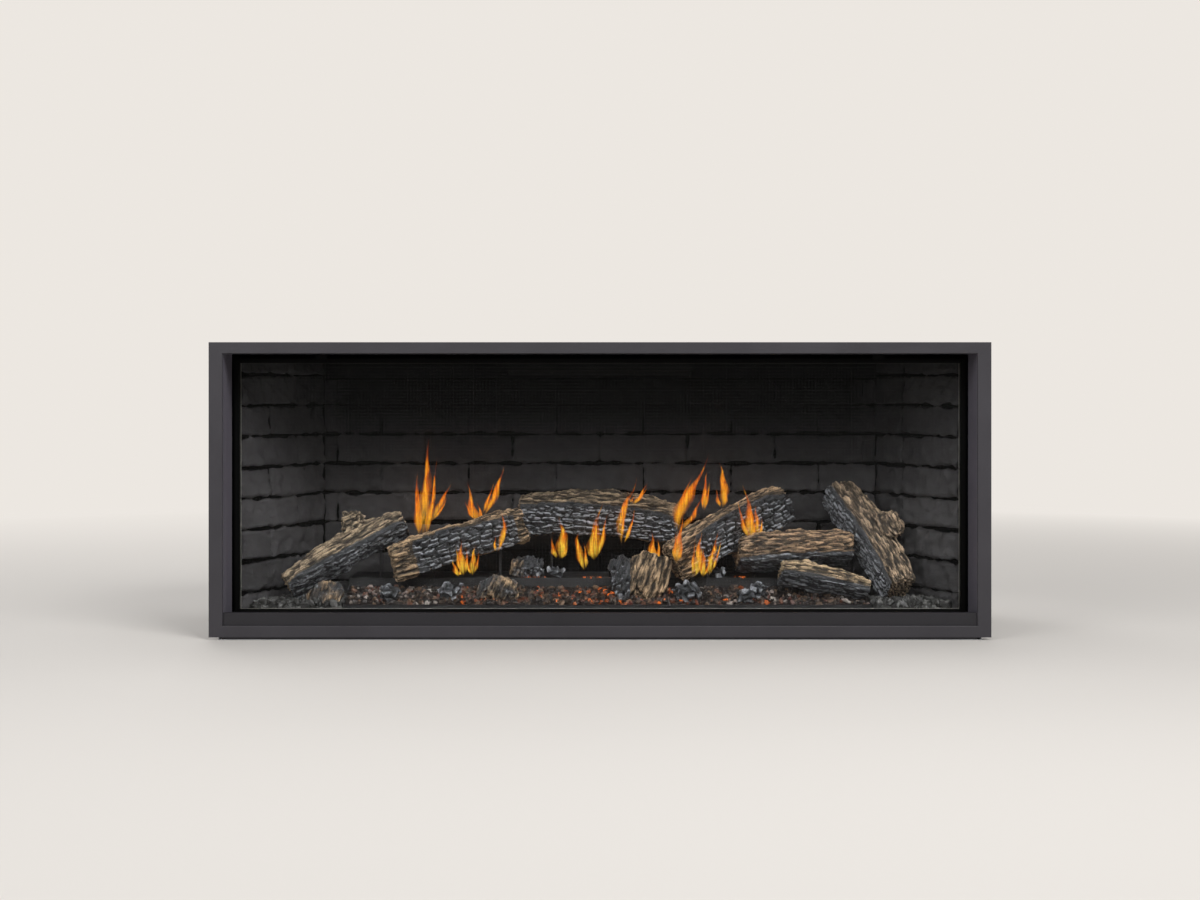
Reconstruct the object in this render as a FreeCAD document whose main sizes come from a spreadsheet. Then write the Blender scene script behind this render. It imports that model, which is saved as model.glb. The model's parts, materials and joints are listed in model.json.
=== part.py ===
import FreeCAD, Part
import math
import os

import Sketcher
from FreeCAD import Rotation, Vector

# Built-in gas fireplace: a low, wide firebox with a brick liner, a log set on a tray burner,
# a tilting glass door with a mesh screen, a flat steel trim, and the gas controls at the rear.
# Millimetres. X runs along the opening, Y goes into the wall, Z is up.
# The origin is the middle of the casing's underside.

doc = FreeCAD.newDocument("GasFireplace")
sheet = doc.addObject("Spreadsheet::Sheet", "Sizes")

SIZES = {
    # flat trim around the opening and the returns behind it
    "trim_width": 1644,
    "trim_height": 620,
    "trim_plate": 3,
    "trim_side_face": 29,
    "trim_rail_face": 24,
    "trim_lift": 6,
    "trim_bevel": 1.2,
    "return_depth": 104,
    "return_sheet": 1.5,
    "fascia_height": 51,
    "fascia_gap": 2,
    "fascia_lip": 14,
    # sheet steel casing
    "casing_width": 1604,
    "casing_height": 622,
    "casing_depth": 517,
    "casing_sheet": 1.5,
    "bead_width": 26,
    "bead_rise": 2,
    "tab_width": 18,
    "tab_height": 34,
    "tab_leg": 30,
    "tab_setback": 57,
    "tab_low": 120,
    "tab_spacing": 380,
    "tab_hole": 3.25,
    "cover_height": 230,
    "cover_depth": 92,
    "cover_lap": 12,
    "cover_low": 44,
    "screw_head": 4,
    "screw_rise": 3,
    # welded firebox
    "box_sheet": 1.5,
    "flange_depth": 133,
    "flange_half": 779,
    "flange_low": 42,
    "flange_high": 590,
    "floor_height": 23.5,
    "ceiling_height": 600,
    "relief_width": 300,
    "relief_length": 80,
    "relief_depth": 185,
    "relief_lap": 14,
    "pivot_radius": 3,
    "pivot_play": 0.05,
    "baffle_width": 420,
    "baffle_reach": 100,
    "baffle_rise": 30,
    # brick-faced liner
    "brick_front_half": 784,
    "brick_back_half": 641,
    "brick_front_depth": 136,
    "brick_back_depth": 426,
    "brick_thick": 12,
    "brick_length": 203,
    "brick_course": 68,
    "brick_first_joint": 82.7,
    "brick_back_top": 553,
    "mortar_width": 8,
    "mortar_depth": 3.5,
    # coaxial vent at the rear
    "flue_radius": 50.8,
    "intake_radius": 84.1,
    "collar_wall": 1.2,
    "collar_length": 55,
    "vent_height": 480,
    "flue_box_half": 120,
    "flue_box_low": 412,
    "flue_box_depth": 60,
    "slot_half": 100,
    "slot_height": 36,
    "restrictor_length": 130,
    "slide_play": 0.35,
    # tilting glass door and its mesh screen
    "door_half": 788,
    "door_low": 33,
    "door_high": 593,
    "door_front_depth": 113,
    "door_thick": 18,
    "door_stile": 10,
    "door_bottom_rail": 19,
    "glass_thick": 5,
    "glass_setback": 10.7,
    "hinge_depth": 108,
    "hinge_height": 39,
    "hinge_pin": 3,
    "lug_width": 24,
    "bracket_plate": 4,
    "screen_front_depth": 106,
    "screen_thick": 6,
    "screen_low": 45.2,
    "screen_top_rail": 7,
    "screen_bottom_rail": 8,
    "mesh_thick": 0.6,
    "mesh_columns": 26,
    "mesh_rows": 9,
    "mesh_bar": 1.4,
    # burner under the logs
    "tray_left": -560,
    "tray_right": 593,
    "tray_front_depth": 150,
    "tray_lip_height": 57,
    "trough_height": 36,
    "trough_back_depth": 225,
    "deck_front_depth": 255,
    "deck_back_depth": 400,
    "deck_height": 105,
    "tray_sheet": 1.5,
    "port_length": 24,
    "port_width": 4,
    "port_pitch": 44,
    "tube_radius": 17,
    "tube_wall": 1.5,
    "tube_depth": 330,
    "tube_height": 74,
    "tube_left": -500,
    "tube_right": 505,
    "shutter_length": 26,
    "shutter_wall": 1.6,
    "ember_front_height": 56,
    "ember_back_height": 88,
    "gravel_rise": 38,
    "gravel_reach": 150,
    "gravel_bank": 18,
    "pin_radius": 3,
    "pin_bite": 6,
    "pin_play": 0.3,
    # gas train and controls beside the vent
    "gas_line_height": 95,
    "gas_line_depth": 480,
    "inlet_x": 540,
    "inlet_bore": 9.3,
    "inlet_boss": 14,
    "inlet_reach": 12,
    "shutoff_x": 590,
    "shutoff_radius": 12,
    "lever_length": 32,
    "plate_x": 636,
    "plate_height": 230,
    "valve_length": 78,
    "valve_width": 58,
    "valve_height": 70,
    "knob_radius": 11,
    "knob_length": 17,
    "knob_spacing": 28,
    "stem_radius": 4,
    "igniter_height": 190,
    "igniter_radius": 9,
    "button_radius": 6,
    "button_travel": 5,
    "pipe_radius": 4.75,
    "pipe_bend": 14,
    "orifice_x": 548,
}

for row, (alias, size) in enumerate(SIZES.items(), start=1):
    sheet.set(f"A{row}", alias)
    sheet.set(f"B{row}", str(size))
    sheet.setAlias(f"B{row}", alias)
doc.recompute()

FULL_TURN = 2 * math.pi


def number(text):
    """The number that an expression over the sheet gives."""
    found = sheet.evalExpression(text)
    return float(getattr(found, "Value", found))


def deep(text):
    """Y of a depth behind the front of the trim."""
    return f"(-Sizes.casing_depth / 2 - Sizes.trim_plate + ({text}))"


# Places that several pieces share
HALF_CASING = "(Sizes.casing_width / 2)"
CASING_FRONT = "(-Sizes.casing_depth / 2)"
CASING_BACK = "(Sizes.casing_depth / 2)"
CASING_INSIDE = "(Sizes.casing_width / 2 - Sizes.casing_sheet)"
CASING_TOP_INSIDE = "(Sizes.casing_height - Sizes.casing_sheet)"
OPENING_HALF = "(Sizes.trim_width / 2 - Sizes.trim_side_face)"
OPENING_LOW = "(Sizes.trim_lift + Sizes.trim_rail_face)"
OPENING_HIGH = "(Sizes.trim_lift + Sizes.trim_height - Sizes.trim_rail_face)"
FLANGE_FRONT = deep("Sizes.flange_depth")
BOX_FRONT = deep("Sizes.flange_depth + Sizes.box_sheet")
BRICK_FRONT = deep("Sizes.brick_front_depth")
BRICK_BACK = deep("Sizes.brick_back_depth")
WALL_BACK = deep("Sizes.brick_back_depth + Sizes.brick_thick")
WALL_REAR = deep("Sizes.brick_back_depth + Sizes.brick_thick + Sizes.box_sheet")
SPLAY_RUN = "(Sizes.brick_back_depth - Sizes.brick_front_depth)"
SPLAY = f"((Sizes.brick_front_half - Sizes.brick_back_half) / {SPLAY_RUN})"
PIPE_HEIGHT = "(Sizes.casing_sheet + Sizes.floor_height / 2 - 1)"
SPLAY_SECANT = f"sqrt(1 + {SPLAY} * {SPLAY})"


def splayed(depth, offset):
    """X of the right-hand side wall at a depth, offset outwards from the brick face."""
    return (
        f"(Sizes.brick_front_half - ({depth} - Sizes.brick_front_depth) * {SPLAY}"
        f" + ({offset}) * {SPLAY_SECANT})"
    )


def block(name, x, y, z):
    """A Part box between pairs of expressions along X, Y and Z."""
    box = doc.addObject("Part::Box", name)
    for axis, side, (low, high) in zip("xyz", ("Length", "Width", "Height"), (x, y, z)):
        box.setExpression(f".Placement.Base.{axis}", low)
        box.setExpression(side, f"({high}) - ({low})")
    return box


AXIS_TURNS = {
    "x": Rotation(Vector(0, 1, 0), 90),
    "y": Rotation(Vector(1, 0, 0), -90),
    "z": Rotation(),
}


def rod(name, axis, at, span, radius):
    """A Part cylinder along an axis; at gives the other two coordinates in order."""
    bar = doc.addObject("Part::Cylinder", name)
    bar.Placement.Rotation = AXIS_TURNS[axis]
    others = [letter for letter in "xyz" if letter != axis]
    bar.setExpression(f".Placement.Base.{axis}", span[0])
    for letter, text in zip(others, at):
        bar.setExpression(f".Placement.Base.{letter}", text)
    bar.setExpression("Height", f"({span[1]}) - ({span[0]})")
    bar.setExpression("Radius", radius)
    return bar


def fuse(name, *pieces):
    """One welded or cast solid."""
    joined = doc.addObject("Part::MultiFuse", name)
    joined.Shapes = list(pieces)
    joined.Refine = True
    return joined


def cut(name, base, *tools):
    """The base with every tool taken out of it."""
    tool = tools[0]
    if len(tools) > 1:
        tool = doc.addObject("Part::MultiFuse", name + "_tools")
        tool.Shapes = list(tools)
    result = doc.addObject("Part::Cut", name)
    result.Base = base
    result.Tool = tool
    result.Refine = True
    return result


def group(name, *pieces):
    """Separate solids that share one node."""
    together = doc.addObject("Part::Compound", name)
    together.Links = list(pieces)
    return together


def mirrored(name, source):
    """The same piece on the other side of the middle."""
    copy = doc.addObject("Part::Mirroring", name)
    copy.Source = source
    copy.Normal = Vector(1, 0, 0)
    return copy


def ring(name, outer, inner, y):
    """A flat frame: outer and inner are (half width, low, high)."""
    sides = []
    for tag, (half, low, high) in (("outer", outer), ("inner", inner)):
        sides.append(block(f"{name}_{tag}", (f"-({half})", half), y, (low, high)))
    return cut(name, *sides)


def sketch_in(body, plane, loops, offset="0"):
    """A closed sketch of straight lines whose corners are all driven by expressions."""
    sketch = body.newObject("Sketcher::SketchObject", body.Name + "_sketch")
    support = next(item for item in body.Origin.OriginFeatures if item.Role == plane)
    sketch.AttachmentSupport = [(support, "")]
    sketch.MapMode = "FlatFace"
    sketch.setExpression(".AttachmentOffset.Base.z", offset)
    for loop in loops:
        first = sketch.GeometryCount
        count = len(loop)
        corners = [Vector(number(across), number(up), 0) for across, up in loop]
        for index in range(count):
            following = corners[(index + 1) % count]
            sketch.addGeometry(Part.LineSegment(corners[index], following))
        for index in range(count):
            after = first + (index + 1) % count
            sketch.addConstraint(Sketcher.Constraint("Coincident", first + index, 2, after, 1))
        for index, (across, up) in enumerate(loop):
            for kind, text in (("DistanceX", across), ("DistanceY", up)):
                start = number(text)
                held = sketch.addConstraint(Sketcher.Constraint(kind, -1, 1, first + index, 1, start))
                sketch.setExpression(f"Constraints[{held}]", text)
    return sketch


def rectangle(x, z):
    """Corner expressions of an upright rectangle."""
    return [(x[0], z[0]), (x[1], z[0]), (x[1], z[1]), (x[0], z[1])]


def prism(name, plane, loops, offset, length, flipped=False):
    """A PartDesign body: one sketch padded along its normal."""
    body = doc.addObject("PartDesign::Body", name)
    pad_on(body, plane, loops, offset, length, flipped)
    return body


def pad_on(body, plane, loops, offset, length, flipped=False):
    """Another pad on a body."""
    pad = body.newObject("PartDesign::Pad", body.Name + "_pad")
    pad.Profile = sketch_in(body, plane, loops, offset)
    pad.setExpression("Length", length)
    pad.Reversed = flipped
    return pad


def pocket_on(body, plane, loops, offset, length, flipped=False):
    """A pocket in a body."""
    pocket = body.newObject("PartDesign::Pocket", body.Name + "_pocket")
    pocket.Profile = sketch_in(body, plane, loops, offset)
    pocket.setExpression("Length", length)
    pocket.Reversed = flipped
    return pocket


def repeat(body, feature, axis, pitch, count):
    """A straight row of one feature along its sketch's H_Axis or V_Axis."""
    pattern = body.newObject("PartDesign::LinearPattern", body.Name + "_row")
    pattern.Originals = [feature]
    pattern.Direction = (feature.Profile[0], [axis])
    pattern.Mode = "Spacing"
    pattern.setExpression("Offset", pitch)
    pattern.Occurrences = count
    body.Tip = pattern
    return pattern


NODES = []


def node(piece):
    """Hands a finished piece to the export list."""
    NODES.append(piece)
    return piece


def outward(value):
    """A span from the middle to both sides."""
    return (f"-({value})", value)


def build_trim():
    """The flat face around the opening, its side and top returns, and the low fascia."""
    body = doc.addObject("PartDesign::Body", "trim_frame")
    low = "Sizes.trim_lift"
    high = "(Sizes.trim_lift + Sizes.trim_height)"
    outer = rectangle(outward("Sizes.trim_width / 2"), (low, high))
    inner = rectangle(outward(OPENING_HALF), (OPENING_LOW, OPENING_HIGH))
    face_y = f"-{deep('0')}"
    pad_on(body, "XZ_Plane", [outer, inner], face_y, "Sizes.trim_plate", True)
    inside = OPENING_HALF
    outside = f"({OPENING_HALF} + Sizes.return_sheet)"
    roof = f"({OPENING_HIGH} + Sizes.return_sheet)"
    returns = [
        (f"-{outside}", OPENING_LOW),
        (f"-{inside}", OPENING_LOW),
        (f"-{inside}", OPENING_HIGH),
        (inside, OPENING_HIGH),
        (inside, OPENING_LOW),
        (outside, OPENING_LOW),
        (outside, roof),
        (f"-{outside}", roof),
    ]
    back_y = f"-{deep('Sizes.trim_plate')}"
    shell = pad_on(body, "XZ_Plane", [returns], back_y, "Sizes.return_depth - Sizes.trim_plate", True)
    doc.recompute()
    front = number(deep("0"))
    half = number(OPENING_HALF)
    bottom = number(OPENING_LOW)
    top = number(OPENING_HIGH)
    chosen = []
    for index, edge in enumerate(shell.Shape.Edges, start=1):
        middle = edge.BoundBox.Center
        flat = abs(middle.y - front) < 0.01 and edge.BoundBox.YLength < 0.01
        on_side = abs(abs(middle.x) - half) < 0.01
        on_rail = abs(middle.z - bottom) < 0.01 or abs(middle.z - top) < 0.01
        if flat and (on_side or on_rail):
            chosen.append(f"Edge{index}")
    bevel = body.newObject("PartDesign::Chamfer", "trim_frame_bevel")
    bevel.Base = (shell, chosen)
    bevel.setExpression("Size", "Sizes.trim_bevel")
    body.Tip = bevel
    node(body)

    skin = "Sizes.casing_sheet"
    face = deep("Sizes.trim_plate + Sizes.fascia_gap")
    foot = "Sizes.casing_sheet"
    crest = "(Sizes.trim_lift + Sizes.fascia_height)"
    profile = [
        (face, foot),
        (f"{face} + Sizes.fascia_lip", foot),
        (f"{face} + Sizes.fascia_lip", f"{foot} + {skin}"),
        (f"{face} + {skin}", f"{foot} + {skin}"),
        (f"{face} + {skin}", f"{crest} - {skin}"),
        (f"{face} + Sizes.fascia_lip", f"{crest} - {skin}"),
        (f"{face} + Sizes.fascia_lip", crest),
        (face, crest),
    ]
    length = f"2 * {OPENING_HALF} - 1"
    node(prism("lower_fascia", "YZ_Plane", [profile], f"-{OPENING_HALF} + 0.5", length))


def build_casing():
    """Base, back, sides and top of sheet steel, with the service opening and anchor tabs."""
    skin = "Sizes.casing_sheet"
    whole = (CASING_FRONT, CASING_BACK)
    upright = (skin, CASING_TOP_INSIDE)
    node(block("casing_base", outward(HALF_CASING), whole, ("0", skin)))
    lid = block("casing_top_sheet", outward(HALF_CASING), whole, (CASING_TOP_INSIDE, "Sizes.casing_height"))
    beads = []
    bead_y = (f"{CASING_FRONT} + 70", f"{CASING_BACK} - 50")
    bead_z = ("Sizes.casing_height", "Sizes.casing_height + Sizes.bead_rise")
    for place in ("-3", "-1", "1", "3"):
        middle = f"({place} * Sizes.casing_width / 8)"
        bead_x = (f"{middle} - Sizes.bead_width / 2", f"{middle} + Sizes.bead_width / 2")
        beads.append(block("top_bead", bead_x, bead_y, bead_z))
    node(fuse("casing_top", lid, *beads))
    plain_side = block("casing_left_sheet", (f"-{HALF_CASING}", f"-{CASING_INSIDE}"), whole, upright)
    side_bead_x = (f"-{HALF_CASING} - Sizes.bead_rise", f"-{HALF_CASING}")
    side_beads = []
    for place in ("0.4", "0.75"):
        middle = f"({CASING_FRONT} + {place} * Sizes.casing_depth)"
        side_y = (f"{middle} - Sizes.bead_width / 2", f"{middle} + Sizes.bead_width / 2")
        side_beads.append(block("side_bead", side_bead_x, side_y, ("60", "Sizes.casing_height - 60")))
    node(fuse("casing_left", plain_side, *side_beads))

    cover_back = f"({CASING_BACK} - 14)"
    cover_front = f"({cover_back} - Sizes.cover_depth)"
    cover_top = "(Sizes.cover_low + Sizes.cover_height)"
    side = block("casing_right_sheet", (CASING_INSIDE, HALF_CASING), whole, upright)
    lap = "Sizes.cover_lap"
    hatch = block(
        "casing_right_hatch",
        (f"{CASING_INSIDE} - 1", f"{HALF_CASING} + 1"),
        (f"{cover_front} + {lap}", f"{cover_back} - {lap}"),
        (f"Sizes.cover_low + {lap}", f"{cover_top} - {lap}"),
    )
    right_y = f"({CASING_FRONT} + 0.4 * Sizes.casing_depth)"
    right_bead = block(
        "casing_right_bead",
        (HALF_CASING, f"{HALF_CASING} + Sizes.bead_rise"),
        (f"{right_y} - Sizes.bead_width / 2", f"{right_y} + Sizes.bead_width / 2"),
        ("60", "Sizes.casing_height - 60"),
    )
    node(cut("casing_right", fuse("casing_right_solid", side, right_bead), hatch))
    cover_x = (HALF_CASING, f"{HALF_CASING} + {skin}")
    node(block("access_cover", cover_x, (cover_front, cover_back), ("Sizes.cover_low", cover_top)))

    panel_y = (f"{CASING_BACK} - {skin}", CASING_BACK)
    panel = block("casing_back_sheet", outward(CASING_INSIDE), panel_y, upright)
    through = (f"{CASING_BACK} - 5", f"{CASING_BACK} + 5")
    vent_bore = "Sizes.intake_radius - Sizes.collar_wall - 3"
    vent_hole = rod("casing_back_vent", "y", ("0", "Sizes.vent_height"), through, vent_bore)
    gas_at = ("Sizes.inlet_x", "Sizes.gas_line_height")
    gas_hole = rod("casing_back_gas", "y", gas_at, through, "Sizes.inlet_boss + 0.5")
    back_beads = []
    for place in ("-0.8", "-0.5", "-0.25", "0.25", "0.5", "0.8"):
        middle = f"({place} * {HALF_CASING})"
        bead_x = (f"{middle} - Sizes.bead_width / 2", f"{middle} + Sizes.bead_width / 2")
        rise = (CASING_BACK, f"{CASING_BACK} + Sizes.bead_rise")
        back_beads.append(block("back_bead", bead_x, rise, ("130", "Sizes.casing_height - 60")))
    node(cut("casing_back", fuse("casing_back_solid", panel, *back_beads), vent_hole, gas_hole))

    tabs = []
    tab_y = f"({CASING_FRONT} + Sizes.tab_setback)"
    for tag, rise in (("low", "0"), ("high", "Sizes.tab_spacing")):
        middle = f"(Sizes.tab_low + {rise})"
        tall = (f"{middle} - Sizes.tab_height / 2", f"{middle} + Sizes.tab_height / 2")
        ear_x = (HALF_CASING, f"{HALF_CASING} + Sizes.tab_width")
        ear = block(f"tab_ear_{tag}", ear_x, (tab_y, f"{tab_y} + 2"), tall)
        leg_x = (HALF_CASING, f"{HALF_CASING} + 2")
        leg = block(f"tab_leg_{tag}", leg_x, (tab_y, f"{tab_y} + Sizes.tab_leg"), tall)
        hole_at = (f"{HALF_CASING} + Sizes.tab_width / 2 + 1", middle)
        hole = rod(f"tab_hole_{tag}", "y", hole_at, (f"{tab_y} - 2", f"{tab_y} + 4"), "Sizes.tab_hole")
        tab = cut(f"tab_right_{tag}", fuse(f"tab_solid_{tag}", ear, leg), hole)
        tabs.append(tab)
        tabs.append(mirrored(f"tab_left_{tag}", tab))
    node(group("anchor_tabs", *tabs))


def build_screws():
    """Hexagon-headed sheet screws along the casing's rear edges, the cover and the tabs."""
    head = number("Sizes.screw_head")
    rise = number("Sizes.screw_rise")
    half = number(HALF_CASING)
    back = number(CASING_BACK)
    skin = number("Sizes.casing_sheet")
    edge_gap = 9

    def screw(place, direction):
        corners = [
            Vector(head * math.cos(FULL_TURN * k / 6), head * math.sin(FULL_TURN * k / 6), 0)
            for k in range(7)
        ]
        hexagon = Part.Face(Part.makePolygon(corners)).extrude(Vector(0, 0, rise))
        washer = Part.makeCylinder(head * 1.25, rise * 0.25)
        whole = hexagon.fuse(washer).removeSplitter()
        whole.Placement = FreeCAD.Placement(place, Rotation(Vector(0, 0, 1), direction))
        return whole

    heads = []
    across_count = 7
    spread = 2 * (half - 3 * edge_gap)
    for k in range(across_count):
        x = -spread / 2 + spread * k / (across_count - 1)
        for z in (number("Sizes.casing_sheet") + edge_gap, number(CASING_TOP_INSIDE) - edge_gap):
            heads.append(screw(Vector(x, back, z), Vector(0, 1, 0)))
    cover_back = back - 14
    cover_front = cover_back - number("Sizes.cover_depth")
    cover_low = number("Sizes.cover_low")
    cover_high = cover_low + number("Sizes.cover_height")
    inset = number("Sizes.cover_lap") / 2
    for y in (cover_front + inset, cover_back - inset):
        for z in (cover_low + inset, cover_high - inset):
            heads.append(screw(Vector(half + skin, y, z), Vector(1, 0, 0)))
    tab_y = number(f"{CASING_FRONT} + Sizes.tab_setback + Sizes.tab_leg - 9")
    for sign in (-1, 1):
        for rise_to in (0, number("Sizes.tab_spacing")):
            z = number("Sizes.tab_low") + rise_to
            heads.append(screw(Vector(sign * (half + 2), tab_y, z), Vector(sign, 0, 0)))
    screws = doc.addObject("Part::Feature", "casing_screws")
    screws.Shape = Part.makeCompound(heads)
    node(screws)


def build_firebox():
    """The welded inner box: front flange, floor, splayed sides, back and ceiling."""
    skin = "Sizes.box_sheet"
    outer = (CASING_INSIDE, "Sizes.casing_sheet", CASING_TOP_INSIDE)
    inner = ("Sizes.flange_half", "Sizes.flange_low", "Sizes.flange_high")
    flange = ring("firebox_front_flange", outer, inner, (FLANGE_FRONT, BOX_FRONT))
    node(flange)

    near = "(Sizes.flange_depth + Sizes.box_sheet)"
    far = "(Sizes.brick_back_depth + Sizes.brick_thick)"
    rear = f"({far} + {skin})"
    hidden = "Sizes.brick_thick"
    edge = f"(Sizes.brick_thick + {skin})"

    def plan(back_depth):
        front_x = splayed(near, edge)
        back_x = splayed(back_depth, edge)
        return [
            (f"-{front_x}", BOX_FRONT),
            (front_x, BOX_FRONT),
            (back_x, deep(back_depth)),
            (f"-{back_x}", deep(back_depth)),
        ]

    floor = prism("firebox_floor", "XY_Plane", [plan(rear)], f"Sizes.floor_height - {skin}", skin)
    hole_half = "(Sizes.pipe_radius + 1.5)"
    pipe_y = deep("Sizes.tube_depth")
    pipe_hole = rectangle(
        (f"Sizes.orifice_x - {hole_half}", f"Sizes.orifice_x + {hole_half}"),
        (f"{pipe_y} - {hole_half}", f"{pipe_y} + {hole_half}"),
    )
    pocket_on(floor, "XY_Plane", [pipe_hole], "Sizes.floor_height", f"2 * {skin}")
    node(floor)

    tall = "Sizes.ceiling_height - Sizes.floor_height"
    side = [
        (splayed(near, hidden), BOX_FRONT),
        (splayed(far, hidden), deep(far)),
        (splayed(far, edge), deep(far)),
        (splayed(near, edge), BOX_FRONT),
    ]
    right = prism("firebox_right_wall", "XY_Plane", [side], "Sizes.floor_height", tall)
    other_side = [(f"-{across}", up) for across, up in reversed(side)]
    left = prism("firebox_left_wall", "XY_Plane", [other_side], "Sizes.floor_height", tall)
    node(left)
    node(right)

    upright = ("Sizes.floor_height", "Sizes.ceiling_height")
    wall = block("back_wall_sheet", outward(splayed(far, edge)), (WALL_BACK, WALL_REAR), upright)
    slot_low = "(Sizes.brick_back_top + 4)"
    slot = block(
        "back_wall_slot",
        outward("Sizes.slot_half"),
        (f"{WALL_BACK} - 2", f"{WALL_REAR} + 2"),
        (slot_low, f"{slot_low} + Sizes.slot_height"),
    )
    keepers = []
    keeper_top = "(Sizes.ceiling_height - 1)"
    lip_front = f"({WALL_BACK} - {skin} - 2 * Sizes.slide_play - 1.5)"
    for tag, place in (("left", "-Sizes.slot_half - 20"), ("right", "Sizes.slot_half + 8")):
        width = (place, f"{place} + 12")
        top_y = (lip_front, WALL_BACK)
        keepers.append(block(f"keeper_top_{tag}", width, top_y, (f"{keeper_top} - 1.5", keeper_top)))
        lip_y = (lip_front, f"{lip_front} + 1.5")
        keepers.append(block(f"keeper_lip_{tag}", width, lip_y, (f"{keeper_top} - 8", keeper_top)))
    pierced = cut("back_wall_pierced", wall, slot)
    node(fuse("firebox_back_wall", pierced, *keepers))

    ceiling = prism("ceiling_sheet", "XY_Plane", [plan(rear)], "Sizes.ceiling_height", skin)
    relief_y = deep("Sizes.relief_depth")
    vent = rectangle(
        outward("Sizes.relief_width / 2"),
        (relief_y, f"{relief_y} + Sizes.relief_length"),
    )
    pocket_on(ceiling, "XY_Plane", [vent], f"Sizes.ceiling_height + {skin}", f"2 * {skin}")
    top = f"(Sizes.ceiling_height + {skin})"
    pivot_y = f"({relief_y} + Sizes.relief_length + Sizes.relief_lap + 6)"
    pivot_z = f"({top} + Sizes.pivot_radius + 1)"
    lugs = []
    for tag, sign in (("left", -1), ("right", 1)):
        near_x = f"{sign} * (Sizes.relief_width / 2 + Sizes.relief_lap + 4)"
        lug_x = (f"{near_x} - 2", f"{near_x} + 2")
        lug_y = (f"{pivot_y} - 6", f"{pivot_y} + 6")
        lugs.append(block(f"relief_lug_{tag}", lug_x, lug_y, (top, f"{pivot_z} + 5.5")))
    lug_span = outward("(Sizes.relief_width / 2 + Sizes.relief_lap + 10)")
    bore = rod("relief_bore", "x", (pivot_y, pivot_z), lug_span, "Sizes.pivot_radius + Sizes.pivot_play")
    node(cut("firebox_ceiling", fuse("ceiling_with_lugs", ceiling, *lugs), bore))

    lap = "Sizes.relief_lap"
    flap_half = f"(Sizes.relief_width / 2 + {lap})"
    leaf_y = (f"{relief_y} - {lap}", pivot_y)
    leaf = block("relief_leaf", outward(flap_half), leaf_y, (top, f"{top} + {skin}"))
    pin_half = "(Sizes.relief_width / 2 + Sizes.relief_lap + 7)"
    pivot = rod("relief_pivot", "x", (pivot_y, pivot_z), outward(pin_half), "Sizes.pivot_radius")
    node(fuse("relief_flap", leaf, pivot))

    reach = "Sizes.baffle_reach"
    front_edge = f"({WALL_BACK} - {reach})"
    # The baffle hangs from the ceiling in front of the flue slot and leaves a path over its sides
    bend_z = "(Sizes.ceiling_height - Sizes.baffle_rise)"
    profile = [
        (front_edge, "Sizes.ceiling_height"),
        (front_edge, bend_z),
        (f"{front_edge} + {reach} / 2", f"{bend_z} - 12"),
        (f"{front_edge} + {reach} / 2", f"{bend_z} - 12 + {skin}"),
        (f"{front_edge} + {skin}", f"{bend_z} + {skin}"),
        (f"{front_edge} + {skin}", "Sizes.ceiling_height"),
    ]
    node(prism("baffle_plate", "YZ_Plane", [profile], "-Sizes.baffle_width / 2", "Sizes.baffle_width"))


def build_vent():
    """Flue box behind the slot, the two collars through the casing, and the sliding restrictor."""
    skin = "Sizes.box_sheet"
    box_back = f"({WALL_REAR} + Sizes.flue_box_depth)"
    high = "(Sizes.ceiling_height - 1)"
    box_z = ("Sizes.flue_box_low", high)
    shell = block("flue_box_shell", outward("Sizes.flue_box_half"), (WALL_REAR, box_back), box_z)
    hollow = block(
        "flue_box_hollow",
        outward(f"Sizes.flue_box_half - {skin}"),
        (f"{WALL_REAR} - 1", f"{box_back} - {skin}"),
        (f"Sizes.flue_box_low + {skin}", f"{high} - {skin}"),
    )
    centre = ("0", "Sizes.vent_height")
    bore = "Sizes.flue_radius - Sizes.collar_wall"
    outlet = rod("flue_box_outlet", "y", centre, (f"{box_back} - 4", f"{box_back} + 4"), bore)
    node(cut("flue_box", shell, hollow, outlet))

    end = f"({CASING_BACK} + Sizes.collar_length)"
    outer = rod("flue_collar_outer", "y", centre, (box_back, end), "Sizes.flue_radius")
    inner = rod("flue_collar_inner", "y", centre, (f"{box_back} - 2", f"{end} + 2"), bore)
    node(cut("flue_collar", outer, inner))

    wide = rod("intake_outer", "y", centre, (CASING_BACK, end), "Sizes.intake_radius")
    plate_y = (CASING_BACK, f"{CASING_BACK} + 1.5")
    plate = rod("intake_plate", "y", centre, plate_y, "Sizes.intake_radius + 16")
    open_bore = "Sizes.intake_radius - Sizes.collar_wall"
    clear = rod("intake_inner", "y", centre, (f"{CASING_BACK} - 2", f"{end} + 2"), open_bore)
    node(cut("intake_collar", fuse("intake_solid", wide, plate), clear))

    play = "Sizes.slide_play"
    gate_y = (f"{WALL_BACK} - {play} - {skin}", f"{WALL_BACK} - {play}")
    gate_z = (f"Sizes.brick_back_top + {play}", f"Sizes.ceiling_height - 2.5 - {play}")
    gate_x = ("-Sizes.slot_half - 24", "-Sizes.slot_half - 24 + Sizes.restrictor_length")
    gate = block("restrictor_gate", gate_x, gate_y, gate_z)
    pull_y = (f"{WALL_BACK} - {play} - {skin} - 16", f"{WALL_BACK} - {play}")
    pull_x = (f"{gate_x[1]} - {skin}", gate_x[1])
    pull_z = (f"Sizes.brick_back_top + {play}", "Sizes.brick_back_top + 12")
    pull = block("restrictor_pull", pull_x, pull_y, pull_z)
    node(fuse("flue_restrictor", gate, pull))


def courses_below(top):
    """How many mortar lines lie under a height."""
    first = number("Sizes.brick_first_joint")
    pitch = number("Sizes.brick_course")
    margin = number("Sizes.mortar_width")
    return int((number(top) - margin - first) / pitch) + 1


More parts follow.
